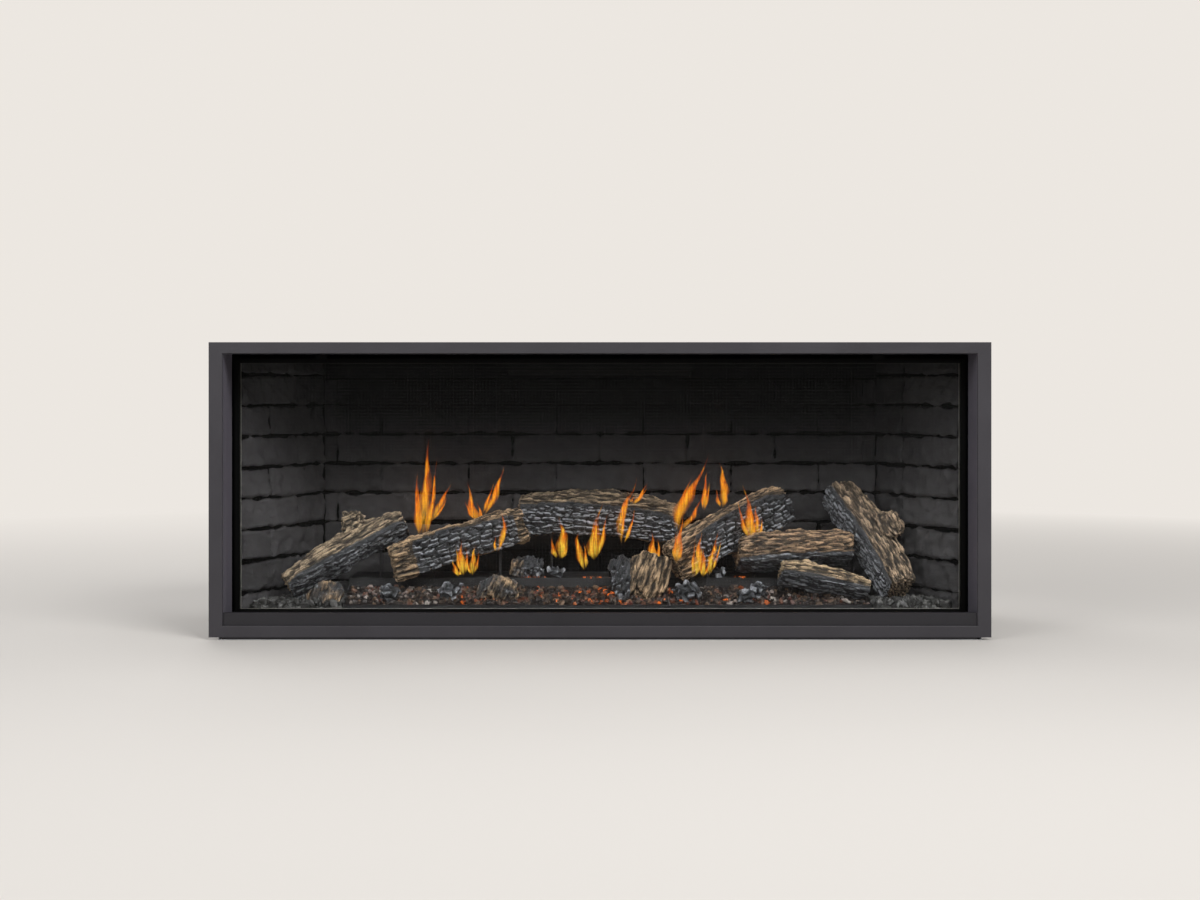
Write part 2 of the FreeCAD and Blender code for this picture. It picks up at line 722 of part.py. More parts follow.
def brick_face(body, length, top, joints):
    """Mortar grooves in running bond on a panel that lies in the XZ plane at Y = 0.

    joints holds, for odd and for even courses, the distance of the first joint from the left.
    """
    mortar = "Sizes.mortar_width"
    first = "(Sizes.brick_first_joint - Sizes.floor_height)"
    count = courses_below(top)
    line = rectangle(("-1", f"{length} + 1"), (f"{first} - {mortar} / 2", f"{first} + {mortar} / 2"))
    bed = pocket_on(body, "XZ_Plane", [line], "0", "Sizes.mortar_depth")
    repeat(body, bed, "V_Axis", "Sizes.brick_course", count)
    for parity, start in enumerate(joints):
        base = f"({first} + {parity} * Sizes.brick_course - Sizes.brick_course)"
        row = (base, f"{base} + Sizes.brick_course")
        if parity == 0:
            row = ("-1", first)
        rows = (count + 1 - parity + 1) // 2
        columns = int((number(length) - number(start) - number(mortar)) / number("Sizes.brick_length")) + 1
        loops = []
        for column in range(columns):
            x = f"({start} + {column} * Sizes.brick_length)"
            for step in range(rows):
                lift = f"{2 * step} * Sizes.brick_course"
                low = f"({row[0]} + {lift})"
                high = f"({row[1]} + {lift})"
                if parity == 0 and step > 0:
                    low = f"({first} - Sizes.brick_course + {lift})"
                loops.append(rectangle((f"{x} - {mortar} / 2", f"{x} + {mortar} / 2"), (low, high)))
        pocket_on(body, "XZ_Plane", loops, "0", "Sizes.mortar_depth")
    return body


def build_liner():
    """Cast brick panels standing on the firebox floor: back, and the two splayed sides."""
    thick = "Sizes.brick_thick"
    back_length = "(2 * Sizes.brick_back_half)"
    back_top = "Sizes.brick_back_top"
    body = doc.addObject("PartDesign::Body", "brick_panel_back")
    outline = rectangle(("0", back_length), ("0", f"{back_top} - Sizes.floor_height"))
    pad_on(body, "XZ_Plane", [outline], "0", thick, True)
    half_brick = "(Sizes.brick_length / 2)"
    middle = "Sizes.brick_back_half - 3 * Sizes.brick_length"
    brick_face(body, back_length, back_top, (f"({middle} + {half_brick})", f"({middle})"))
    body.setExpression(".Placement.Base.x", "-Sizes.brick_back_half")
    body.setExpression(".Placement.Base.y", BRICK_BACK)
    body.setExpression(".Placement.Base.z", "Sizes.floor_height")
    node(body)

    run = "(Sizes.brick_back_depth - Sizes.brick_front_depth)"
    side_length = f"({run} * {SPLAY_SECANT} - 1)"
    side_top = "(Sizes.ceiling_height - 1)"
    turn = math.degrees(math.atan(number(SPLAY)))
    for tag, sign in (("left", -1), ("right", 1)):
        panel = doc.addObject("PartDesign::Body", f"brick_panel_{tag}")
        outline = rectangle(("0", side_length), ("0", f"{side_top} - Sizes.floor_height"))
        pad_on(panel, "XZ_Plane", [outline], "0", thick, True)
        if tag == "left":
            joints = ("Sizes.brick_length * 0.55", "Sizes.brick_length * 1.05")
            x, y, angle = "-Sizes.brick_front_half", BRICK_FRONT, 90 - turn
        else:
            joints = (f"{side_length} - Sizes.brick_length * 1.05", "Sizes.brick_length * 0.54")
            x, y, angle = "Sizes.brick_back_half", f"({BRICK_BACK} - 0.9)", -(90 - turn)
        brick_face(panel, side_length, side_top, joints)
        panel.Placement.Rotation = Rotation(Vector(0, 0, 1), angle)
        panel.setExpression(".Placement.Base.x", x)
        panel.setExpression(".Placement.Base.y", y)
        panel.setExpression(".Placement.Base.z", "Sizes.floor_height")
        node(panel)


def build_door():
    """The glass door on two pivot pins, its catches, and the screen that hangs on it."""
    front = deep("Sizes.door_front_depth")
    back = f"({front} + Sizes.door_thick)"
    inner_half = "(Sizes.door_half - Sizes.door_stile)"
    inner_low = "(Sizes.door_low + Sizes.door_bottom_rail)"
    inner_high = "(Sizes.door_high - Sizes.door_stile)"
    outer = ("Sizes.door_half", "Sizes.door_low", "Sizes.door_high")
    plain = ring("door_ring", outer, (inner_half, inner_low, inner_high), (front, back))
    seat_y = f"({front} + Sizes.glass_setback)"
    glass = ("(Sizes.door_half - 3.5)", "(Sizes.door_low + 7)", "(Sizes.door_high - 3.5)")
    rebate = block(
        "door_rebate",
        outward(f"{glass[0]} + 0.5"),
        (seat_y, f"{back} + 1"),
        (f"{glass[1]} - 0.5", f"{glass[2]} + 0.5"),
    )
    lug_y = (f"{deep('Sizes.hinge_depth')} - 5", front)
    lug_z = ("Sizes.door_low", "Sizes.hinge_height + 6")
    lug_x = ("Sizes.door_half - 2 - Sizes.lug_width", "Sizes.door_half - 2")
    lug = block("door_lug_right", lug_x, lug_y, lug_z)
    other_lug = mirrored("door_lug_left", lug)
    hinge_at = (deep("Sizes.hinge_depth"), "Sizes.hinge_height")
    bore_radius = "Sizes.hinge_pin + Sizes.pivot_play"
    bore = rod("door_bore", "x", hinge_at, outward("Sizes.door_half + 5"), bore_radius)
    rebated = cut("door_rebated", plain, rebate)
    node(cut("door_frame", fuse("door_solid", rebated, lug, other_lug), bore))

    pane_y = (seat_y, f"{seat_y} + Sizes.glass_thick")
    node(block("door_glass", outward(glass[0]), pane_y, (glass[1], glass[2])))
    rope_outer = ("(Sizes.door_half - 4)", "(Sizes.door_low + 7.5)", "(Sizes.door_high - 4)")
    rope_inner = (inner_half, inner_low, inner_high)
    node(ring("door_gasket", rope_outer, rope_inner, (pane_y[1], FLANGE_FRONT)))

    plate_x = ("Sizes.door_half + 1", "Sizes.door_half + 1 + Sizes.bracket_plate")
    plate_y = (f"{deep('Sizes.hinge_depth')} - 8", FLANGE_FRONT)
    plate = block("bracket_sheet", plate_x, plate_y, ("Sizes.casing_sheet", "Sizes.hinge_height + 8"))
    pin_x = ("Sizes.door_half - Sizes.lug_width", "Sizes.door_half + 1 + Sizes.bracket_plate")
    pin = rod("bracket_pin", "x", hinge_at, pin_x, "Sizes.hinge_pin")
    bracket = fuse("bracket_right", plate, pin)
    node(group("door_hinge_brackets", bracket, mirrored("bracket_left", bracket)))

    catch_z = f"({OPENING_HIGH} - 1.6)"
    nose = deep("Sizes.screen_front_depth - 3.2")
    leaf_x = (f"{inner_half} - 190", f"{inner_half} - 165")
    strip = block("catch_strip", leaf_x, (nose, FLANGE_FRONT), (catch_z, f"{catch_z} + 1"))
    hook = block("catch_hook", leaf_x, (nose, f"{nose} + 1"), ("Sizes.door_high - 6", f"{catch_z} + 1"))
    foot = block("catch_foot", leaf_x, (f"{FLANGE_FRONT} - 1", FLANGE_FRONT), (catch_z, f"{catch_z} + 14"))
    catch = fuse("catch_right", strip, hook, foot)
    node(group("door_spring_catches", catch, mirrored("catch_left", catch)))

    face = deep("Sizes.screen_front_depth")
    rear = f"({face} + Sizes.screen_thick)"
    screen_outer = ("Sizes.door_half", "Sizes.screen_low", "Sizes.door_high")
    screen_inner = (
        inner_half,
        "(Sizes.screen_low + Sizes.screen_bottom_rail)",
        "(Sizes.door_high - Sizes.screen_top_rail)",
    )
    hoop = ring("screen_hoop", screen_outer, screen_inner, (face, rear))
    tab_x = ("Sizes.door_half / 2 - 15", "Sizes.door_half / 2 + 15")
    tab_z = ("Sizes.door_high + 0.2", "Sizes.door_high + 1.4")
    tab_over = block("screen_tab_over", tab_x, (face, f"{front} + 9"), tab_z)
    hook_z = ("Sizes.door_high - 3", "Sizes.door_high + 1.4")
    tab_up = block("screen_tab_up", tab_x, (face, f"{face} + 1.2"), hook_z)
    tab = fuse("screen_tab_right", tab_over, tab_up)
    node(fuse("screen_frame", hoop, tab, mirrored("screen_tab_left", tab)))

    # The fine woven screen stands here as an open grid of the same outline
    half = number(inner_half)
    low = number(screen_inner[1])
    high = number(screen_inner[2])
    columns = int(number("Sizes.mesh_columns"))
    rows = int(number("Sizes.mesh_rows"))
    bar = number("Sizes.mesh_bar")
    cell_x = 2 * half / columns
    cell_z = (high - low) / rows
    depth = number(f"{face} + Sizes.screen_thick / 2")
    border = Part.Wire(Part.makePolygon(rectangle_points(-half, half, low, high, depth)))
    holes = []
    for column in range(columns):
        for row in range(rows):
            left = -half + column * cell_x + bar / 2
            base = low + row * cell_z + bar / 2
            corners = rectangle_points(left, left + cell_x - bar, base, base + cell_z - bar, depth)
            holes.append(Part.makePolygon(corners))
    net = Part.makeFace([border] + holes, "Part::FaceMakerBullseye")
    mesh = doc.addObject("Part::Feature", "screen_mesh")
    mesh.Shape = net.extrude(Vector(0, number("Sizes.mesh_thick"), 0))
    node(mesh)


def rectangle_points(left, right, low, high, y):
    """Closed upright rectangle as points."""
    corners = ((left, low), (right, low), (right, high), (left, high), (left, low))
    return [Vector(x, y, z) for x, z in corners]


def build_burner():
    """Folded tray with its port deck, the burner tube below it, air shutter and orifice."""
    skin = "Sizes.tray_sheet"
    foot = "Sizes.floor_height"
    lip = deep("Sizes.tray_front_depth")
    trough_back = deep("Sizes.trough_back_depth")
    deck_front = deep("Sizes.deck_front_depth")
    deck_back = deep("Sizes.deck_back_depth")
    trough = "Sizes.trough_height"
    deck = "Sizes.deck_height"
    profile = [
        (lip, foot),
        (lip, "Sizes.tray_lip_height"),
        (f"{lip} + {skin}", "Sizes.tray_lip_height"),
        (f"{lip} + {skin}", trough),
        (trough_back, trough),
        (deck_front, deck),
        (deck_back, deck),
        (deck_back, foot),
        (f"{deck_back} - {skin}", foot),
        (f"{deck_back} - {skin}", f"{deck} - {skin}"),
        (f"{deck_front} + {skin}", f"{deck} - {skin}"),
        (f"{trough_back} + {skin}", f"{trough} - {skin}"),
        (f"{lip} + {skin}", f"{trough} - {skin}"),
        (f"{lip} + {skin}", foot),
    ]
    wide = "(Sizes.tray_right - Sizes.tray_left)"
    tray = prism("burner_tray", "YZ_Plane", [profile], "Sizes.tray_left", wide)
    end = [
        (lip, foot),
        (lip, "Sizes.tray_lip_height"),
        (trough_back, "Sizes.tray_lip_height + 6"),
        (deck_front, deck),
        (deck_back, deck),
        (deck_back, foot),
    ]
    pad_on(tray, "YZ_Plane", [end], "Sizes.tray_left", skin)
    pad_on(tray, "YZ_Plane", [end], f"Sizes.tray_right - {skin}", skin)
    port_y = deep("Sizes.tube_depth")
    first_port = "(Sizes.tube_left + 30)"
    port = rectangle(
        (first_port, f"{first_port} + Sizes.port_length"),
        (f"{port_y} - Sizes.port_width / 2", f"{port_y} + Sizes.port_width / 2"),
    )
    count = int(number("(Sizes.tube_right - Sizes.tube_left - 110) / Sizes.port_pitch"))
    slot = pocket_on(tray, "XY_Plane", [port], deck, f"2 * {skin}")
    repeat(tray, slot, "H_Axis", "Sizes.port_pitch", count)
    node(tray)

    line = (deep("Sizes.tube_depth"), "Sizes.tube_height")
    outer = rod("tube_outer", "x", line, ("Sizes.tube_left", "Sizes.tube_right"), "Sizes.tube_radius")
    bore_x = ("Sizes.tube_left + 2", "Sizes.tube_right + 1")
    bore = rod("tube_bore", "x", line, bore_x, "Sizes.tube_radius - Sizes.tube_wall")
    legs = []
    for tag, x in (("left", "Sizes.tube_left + 60"), ("right", "Sizes.tube_right - 90")):
        leg_y = (f"{line[0]} - 8", f"{line[0]} + 8")
        leg_z = (foot, "Sizes.tube_height - Sizes.tube_radius + 1")
        legs.append(block(f"tube_leg_{tag}", (x, f"{x} + 18"), leg_y, leg_z))
    ports = []
    top = ("Sizes.tube_height + Sizes.tube_radius - 4", "Sizes.tube_height + Sizes.tube_radius + 2")
    for index in range(count):
        start = f"({first_port} + {index} * Sizes.port_pitch)"
        port_x = (start, f"{start} + Sizes.port_length")
        ports.append(block(f"tube_port_{index}", port_x, (f"{port_y} - 1.5", f"{port_y} + 1.5"), top))
    window_x = ("Sizes.tube_right - 20", "Sizes.tube_right - 6")
    window_z = ("Sizes.tube_height - 6", "Sizes.tube_height + 6")
    for tag, side in (("front", -1), ("rear", 1)):
        reach = f"({line[0]} + {side} * Sizes.tube_radius)"
        window_y = (f"{reach} - 5", f"{reach} + 5")
        ports.append(block(f"tube_window_{tag}", window_x, window_y, window_z))
    node(cut("burner_tube", fuse("tube_body", outer, *legs), bore, *ports))

    play = "Sizes.pivot_play"
    sleeve_x = ("Sizes.tube_right - 2 - Sizes.shutter_length", "Sizes.tube_right - 2")
    sleeve_inner = f"Sizes.tube_radius + {play}"
    sleeve_outer = f"Sizes.tube_radius + {play} + Sizes.shutter_wall"
    skin_rod = rod("shutter_outer", "x", line, sleeve_x, sleeve_outer)
    hollow = rod("shutter_inner", "x", line, (f"{sleeve_x[0]} - 1", f"{sleeve_x[1]} + 1"), sleeve_inner)
    openings = []
    for tag, side in (("front", -1), ("rear", 1)):
        reach = f"({line[0]} + {side} * Sizes.tube_radius)"
        opening_y = (f"{reach} - 6", f"{reach} + 6")
        openings.append(block(f"shutter_window_{tag}", window_x, opening_y, window_z))
    thumb = block(
        "shutter_thumb",
        (f"{sleeve_x[0]} + 3", f"{sleeve_x[0]} + 5"),
        (f"{line[0]} - 4", f"{line[0]} + 4"),
        (f"Sizes.tube_height - ({sleeve_outer}) - 10", "Sizes.tube_height - Sizes.tube_radius - 0.6"),
    )
    node(cut("air_shutter", fuse("shutter_body", skin_rod, thumb), hollow, *openings))

    nozzle_x = ("Sizes.orifice_x - 26", "Sizes.orifice_x")
    nozzle = rod("orifice_nozzle", "x", line, nozzle_x, "4.5")
    spigot = rod("orifice_spigot", "x", line, ("Sizes.orifice_x - 18", "Sizes.orifice_x"), "8")
    knuckle = block(
        "orifice_knuckle",
        ("Sizes.orifice_x - 10", "Sizes.orifice_x + 10"),
        (f"{line[0]} - 9", f"{line[0]} + 9"),
        ("Sizes.tube_height - 12", "Sizes.tube_height + 11"),
    )
    drill = rod("orifice_drill", "x", line, ("Sizes.orifice_x - 27", "Sizes.orifice_x"), "1.4")
    node(cut("orifice_fitting", fuse("orifice_body", nozzle, spigot, knuckle), drill))


def build_controls():
    """Inlet elbow, shut-off, safety valve with two knobs, igniter, and the pipe to the burner."""
    line_y = deep("Sizes.gas_line_depth")
    line_z = "Sizes.gas_line_height"
    across = (line_y, line_z)
    inlet = ("Sizes.inlet_x", line_z)
    mouth = f"({CASING_BACK} + Sizes.inlet_reach)"
    boss = rod("inlet_boss_rod", "y", inlet, (line_y, mouth), "Sizes.inlet_boss")
    heart = block(
        "inlet_heart",
        ("Sizes.inlet_x - 15", "Sizes.inlet_x + 15"),
        (f"{line_y} - 15", f"{line_y} + 15"),
        (f"{line_z} - 15", f"{line_z} + 15"),
    )
    outlet_x = ("Sizes.inlet_x", "Sizes.shutoff_x - 24")
    outlet = rod("inlet_outlet", "x", across, outlet_x, "Sizes.shutoff_radius - 2")
    thread = rod("inlet_thread", "y", inlet, (f"{line_y} + 6", f"{mouth} + 1"), "Sizes.inlet_bore")
    node(cut("gas_inlet_elbow", fuse("inlet_body", boss, heart, outlet), thread))

    barrel_x = ("Sizes.shutoff_x - 24", "Sizes.shutoff_x + 24")
    body = rod("shutoff_barrel", "x", across, barrel_x, "Sizes.shutoff_radius")
    waist = block(
        "shutoff_waist",
        ("Sizes.shutoff_x - 12", "Sizes.shutoff_x + 12"),
        (f"{line_y} - 13", f"{line_y} + 13"),
        (f"{line_z} - 13", f"{line_z} + 15"),
    )
    stem_at = ("Sizes.shutoff_x", line_y)
    stem_z = (line_z, f"{line_z} + 24")
    stem = rod("shutoff_stem", "z", stem_at, stem_z, "Sizes.stem_radius")
    node(fuse("shutoff_valve", body, waist, stem))
    lever_z = (f"{line_z} + 15.5", f"{line_z} + 23")
    arm = block(
        "lever_arm",
        ("Sizes.shutoff_x", "Sizes.shutoff_x + Sizes.lever_length"),
        (f"{line_y} - 6", f"{line_y} + 6"),
        (f"{line_z} + 18", f"{line_z} + 22"),
    )
    hub = rod("lever_hub", "z", stem_at, lever_z, "9")
    bore_radius = "Sizes.stem_radius + Sizes.pivot_play"
    lever_bore = rod("lever_bore", "z", stem_at, (line_z, f"{line_z} + 30"), bore_radius)
    node(cut("shutoff_lever", fuse("lever_body", arm, hub), lever_bore))

    plate = [
        ("Sizes.plate_x - 60", "Sizes.casing_sheet"),
        ("Sizes.plate_x + 1.5", "Sizes.casing_sheet"),
        ("Sizes.plate_x + 1.5", "Sizes.plate_height"),
        ("Sizes.plate_x", "Sizes.plate_height"),
        ("Sizes.plate_x", "Sizes.casing_sheet + 1.5"),
        ("Sizes.plate_x - 60", "Sizes.casing_sheet + 1.5"),
    ]
    plate_y = f"({line_y} - 32)"
    bracket = prism("bracket_bent", "XZ_Plane", [plate], f"-{plate_y}", "64", True)
    through_x = ("Sizes.plate_x - 4", "Sizes.plate_x + 6")
    nipple_hole = rod("bracket_nipple_hole", "x", across, through_x, "Sizes.shutoff_radius - 1.5")
    igniter_at = (line_y, "Sizes.igniter_height")
    igniter_hole = rod("bracket_igniter_hole", "x", igniter_at, through_x, "Sizes.igniter_radius + 0.1")
    pipe_at = (line_y, PIPE_HEIGHT)
    pipe_hole = rod("bracket_pipe_hole", "x", pipe_at, through_x, "Sizes.pipe_radius + 0.8")
    node(cut("control_bracket", bracket, nipple_hole, igniter_hole, pipe_hole))

    face_x = "(Sizes.plate_x + 1.5 + Sizes.valve_length)"
    case = block(
        "valve_case",
        ("Sizes.plate_x + 1.5", face_x),
        (f"{line_y} - Sizes.valve_width / 2", f"{line_y} + Sizes.valve_width / 2"),
        (f"{line_z} - Sizes.valve_height / 2", f"{line_z} + Sizes.valve_height / 2"),
    )
    rounded = doc.addObject("Part::Fillet", "valve_rounded")
    rounded.Base = case
    doc.recompute()
    long_edges = []
    for index, edge in enumerate(case.Shape.Edges, start=1):
        if edge.BoundBox.XLength > number("Sizes.valve_length") - 0.01:
            long_edges.append((index, 7.0, 7.0))
    rounded.Edges = long_edges
    dome = rod(
        "valve_magnet",
        "z",
        ("Sizes.plate_x + 26", line_y),
        (f"{line_z} + Sizes.valve_height / 2 - 1", f"{line_z} + Sizes.valve_height / 2 + 22"),
        "13",
    )
    nipple_x = ("Sizes.shutoff_x + 24", "Sizes.plate_x + 3")
    nipple = rod("valve_nipple", "x", across, nipple_x, "Sizes.shutoff_radius - 2")
    drain = rod(
        "valve_outlet",
        "z",
        ("Sizes.plate_x + 40", line_y),
        (f"{line_z} - Sizes.valve_height / 2 - 10", f"{line_z} - Sizes.valve_height / 2 + 1"),
        "8",
    )
    stems = []
    knob_y = {
        "valve_knob": f"({line_y} - Sizes.knob_spacing / 2)",
        "flame_knob": f"({line_y} + Sizes.knob_spacing / 2)",
    }
    for name, y in knob_y.items():
        stem_x = (f"{face_x} - 2", f"{face_x} + Sizes.knob_length - 3")
        stems.append(rod(f"{name}_stem", "x", (y, line_z), stem_x, "Sizes.stem_radius"))
    node(fuse("gas_valve", rounded, dome, nipple, drain, *stems))

    for name, y in knob_y.items():
        knob_x = (f"{face_x} + 0.5", f"{face_x} + 0.5 + Sizes.knob_length")
        grip = rod(f"{name}_grip", "x", (y, line_z), knob_x, "Sizes.knob_radius")
        ridge = block(
            f"{name}_ridge",
            (f"{knob_x[1]} - 7", f"{knob_x[1]} + 3"),
            (f"{y} - 2.5", f"{y} + 2.5"),
            (f"{line_z} - Sizes.knob_radius + 2", f"{line_z} + Sizes.knob_radius - 1"),
        )
        socket_x = (f"{knob_x[0]} - 1", f"{knob_x[1]} - 3")
        socket = rod(f"{name}_socket", "x", (y, line_z), socket_x, "Sizes.stem_radius + Sizes.pivot_play")
        node(cut(name, fuse(f"{name}_body", grip, ridge), socket))

    sleeve_x = ("Sizes.plate_x - 34", "Sizes.plate_x + 14")
    sleeve = rod("igniter_sleeve", "x", igniter_at, sleeve_x, "Sizes.igniter_radius")
    collar_x = ("Sizes.plate_x + 1.5", "Sizes.plate_x + 5")
    collar = rod("igniter_collar", "x", igniter_at, collar_x, "Sizes.igniter_radius + 4")
    play = "Sizes.pivot_play"
    guide_x = ("Sizes.plate_x - 4", "Sizes.plate_x + 15")
    guide = rod("igniter_guide", "x", igniter_at, guide_x, f"Sizes.button_radius + {play}")
    node(cut("piezo_igniter", fuse("igniter_body", sleeve, collar), guide))
    pressed = "(Sizes.plate_x + Sizes.button_travel)"
    button_x = (f"{pressed} - 3.5", f"{pressed} + 17")
    plunger = rod("button_plunger", "x", igniter_at, button_x, "Sizes.button_radius")
    crown_x = (f"{pressed} + 14.5", f"{pressed} + 19")
    crown = rod("button_crown", "x", igniter_at, crown_x, "Sizes.button_radius + 3")
    node(fuse("piezo_button", plunger, crown))

    low = number(PIPE_HEIGHT)
    start_x = number("Sizes.plate_x + 40")
    end_x = number("Sizes.orifice_x")
    rear_y = number(line_y)
    front_y = number(deep("Sizes.tube_depth"))
    route = [
        Vector(start_x, rear_y, number(f"{line_z} - Sizes.valve_height / 2 - 10")),
        Vector(start_x, rear_y, low),
        Vector(end_x, rear_y, low),
        Vector(end_x, front_y, low),
        Vector(end_x, front_y, number("Sizes.tube_height - 12")),
    ]
    pipe = doc.addObject("Part::Feature", "burner_pipe")
    pipe.Shape = swept_tube(route, number("Sizes.pipe_radius"), number("Sizes.pipe_bend"))
    node(pipe)


def swept_tube(points, radius, bend):
    """A round bar along straight runs joined by bends of one radius."""
    edges = []
    start = points[0]
    for before, corner, after in zip(points, points[1:], points[2:]):
        inward = (before - corner).normalize()
        outward_way = (after - corner).normalize()
        first = corner + inward * bend
        last = corner + outward_way * bend
        centre = corner + (inward + outward_way) * bend
        middle = centre + (corner - centre).normalize() * bend
        edges.append(Part.makeLine(start, first))
        edges.append(Part.Arc(first, middle, last).toShape())
        start = last
    edges.append(Part.makeLine(start, points[-1]))
    path = Part.Wire(edges)
    direction = (points[1] - points[0]).normalize()
    circle = Part.Wire(Part.makeCircle(radius, points[0], direction))
    return path.makePipeShell([circle], True, False)


def faceted(points, faces):
    """A closed solid from corner points and triangles."""
    skins = []
    for triangle in faces:
        loop = [points[index] for index in triangle]
        skins.append(Part.Face(Part.makePolygon(loop + loop[:1])))
    solid = Part.makeSolid(Part.makeShell(skins))
    if solid.Volume < 0:
        solid.reverse()
    return solid


LOG_SIDES = 12
LOG_STATIONS = 7


def log_solid(start, end, radius, taper, seed, bow):
    """A split log: a rough round bar between two points, flat on its lower front side."""
    way = end - start
    along = Vector(way).normalize()
    side = along.cross(Vector(0, 0, 1)).normalize()
    up = side.cross(along).normalize()
    points = []
    for station in range(LOG_STATIONS):
        t = station / (LOG_STATIONS - 1)
        size = radius * (1 + (taper - 1) * t)
        crown = 1 - 0.16 * (2 * t - 1) ** 6
        centre = start + way * t + up * (bow * math.sin(math.pi * t))
        for k in range(LOG_SIDES):
            angle = FULL_TURN * k / LOG_SIDES
            rough = 0.09 * math.sin(2 * angle + seed) + 0.06 * math.sin(3 * angle + 2 * seed + 4 * t)
            rough += 0.05 * math.sin(5 * angle + 3 * seed - 7 * t)
            reach = size * crown * (1 + rough)
            across = reach * math.cos(angle)
            rise = max(reach * math.sin(angle), -0.72 * size)
            points.append(centre + side * across + up * rise)
    faces = []
    for station in range(LOG_STATIONS - 1):
        base = station * LOG_SIDES
        for k in range(LOG_SIDES):
            following = (k + 1) % LOG_SIDES
            low_a = base + k
            low_b = base + following
            faces.append((low_a, low_b, low_b + LOG_SIDES))
            faces.append((low_a, low_b + LOG_SIDES, low_a + LOG_SIDES))
    for base, order in ((0, -1), ((LOG_STATIONS - 1) * LOG_SIDES, 1)):
        centre = Vector()
        for k in range(LOG_SIDES):
            centre = centre + points[base + k]
        hub = len(points)
        points.append(centre * (1 / LOG_SIDES))
        for k in range(LOG_SIDES):
            pair = (base + k, base + (k + 1) % LOG_SIDES)[::order]
            faces.append((pair[0], pair[1], hub))
    return faceted(points, faces)


def lump_solid(centre, size, seed):
    """A broken lump: an icosahedron with its corners pushed in and out."""
    golden = (1 + math.sqrt(5)) / 2
    corners = []
    for one in (-1, 1):
        for two in (-golden, golden):
            corners.append(Vector(0, one, two))
            corners.append(Vector(one, two, 0))
            corners.append(Vector(two, 0, one))
    reach = math.sqrt(1 + golden * golden)
    placed = []
    for k, corner in enumerate(corners):
        push = 1 + 0.16 * math.sin(2.3 * k + seed) + 0.08 * math.sin(5.1 * k + 2 * seed)
        unit = corner * (push / reach)
        placed.append(centre + Vector(unit.x * size.x, unit.y * size.y, unit.z * size.z))
    faces = []
    count = len(corners)
    for a in range(count):
        for b in range(a + 1, count):
            for c in range(b + 1, count):
                gaps = (corners[a] - corners[b], corners[b] - corners[c], corners[c] - corners[a])
                if max(gap.Length for gap in gaps) < 2.01:
                    normal = (corners[b] - corners[a]).cross(corners[c] - corners[a])
                    order = (a, b, c) if normal.dot(corners[a]) > 0 else (a, c, b)
                    faces.append(order)
    return faceted(placed, faces)


def spot(x, depth, z):
    """A point given by its depth behind the trim."""
    return Vector(x, number(deep(str(depth))), z)


# Each log: (x, depth, height) of its two ends, end radius, taper, roughness seed, bow, and
# where along it the support pins stand
LOGS = {
    "log_left": (((-682, 192, 84), (-436, 266, 222)), 50, 0.86, 0.4, 8, (0.24, 0.78)),
    "log_left_centre": (((-456, 216, 139), (-172, 272, 221)), 47, 1.0, 1.9, 4, (0.3, 0.82)),
    "log_rear": (((-182, 345, 238), (174, 345, 216)), 56, 0.96, 3.1, 10, (0.2, 0.8)),
    "log_centre_right": (((164, 218, 140), (420, 322, 266)), 51, 1.0, 4.4, 3, (0.3, 0.72)),
    "log_right_rear": (((306, 250, 146), (560, 266, 158)), 56, 0.95, 5.2, 2, (0.2, 0.62)),
    "log_right_leaning": (((536, 352, 288), (650, 198, 84)), 54, 1.02, 2.5, 6, (0.3, 0.86)),
    "log_right_front": (((398, 184, 120), (586, 184, 80)), 37, 0.9, 0.9, 3, ()),
}

# Broken branches that stick out of a log: ends and radius
STUBS = {
    "log_left": (((-542, 228, 160), (-552, 234, 254)), 28),
    "log_right_leaning": (((604, 266, 192), (666, 246, 226)), 34),
}

# Split chunks standing in the embers: centre (x, depth, height), half sizes, seed
CHUNKS = (
    ((50, 182, 110), (34, 15, 55), 0.3),
    ((104, 196, 116), (52, 24, 58), 1.4),
    ((-600, 172, 76), (42, 20, 34), 2.2),
    ((-226, 184, 100), (48, 22, 33), 3.6),
    ((-164, 276, 138), (42, 18, 30), 4.1),
)

# Lumps of charcoal lying on the embers: x, depth, height of the middle, half size, seed
LUMPS = (
    (-464, 178, 78, 27, 0.2),
    (-330, 190, 92, 26, 1.1),
    (-98, 274, 118, 20, 2.7),
    (190, 182, 84, 34, 3.3),
    (264, 274, 118, 22, 4.2),
    (346, 196, 92, 24, 0.8),
    (320, 172, 78, 24, 1.9),
)


def underside(solid, x, y):
    """Height at which an upright line enters a solid."""
    line = Part.makeLine(Vector(x, y, -100), Vector(x, y, 1200))
    inside = line.common(solid)
    return min(vertex.Z for vertex in inside.Vertexes)


def seated(solid):
    """A loose piece lowered until it sits a little way into what lies under it."""
    sink = 4
    middle = solid.BoundBox.Center.y
    front = number(deep("Sizes.tray_front_depth"))
    back = number(deep("Sizes.deck_front_depth"))
    share = (middle - front) / (back - front)
    low = number("Sizes.ember_front_height")
    bed = low + (number("Sizes.ember_back_height") - low) * min(share, 1)
    if middle < back:
        solid.translate(Vector(0, 0, min(0, bed - sink - solid.BoundBox.ZMin)))
    else:
        solid.translate(Vector(0, 0, number("Sizes.deck_height") - solid.BoundBox.ZMin))
    return solid


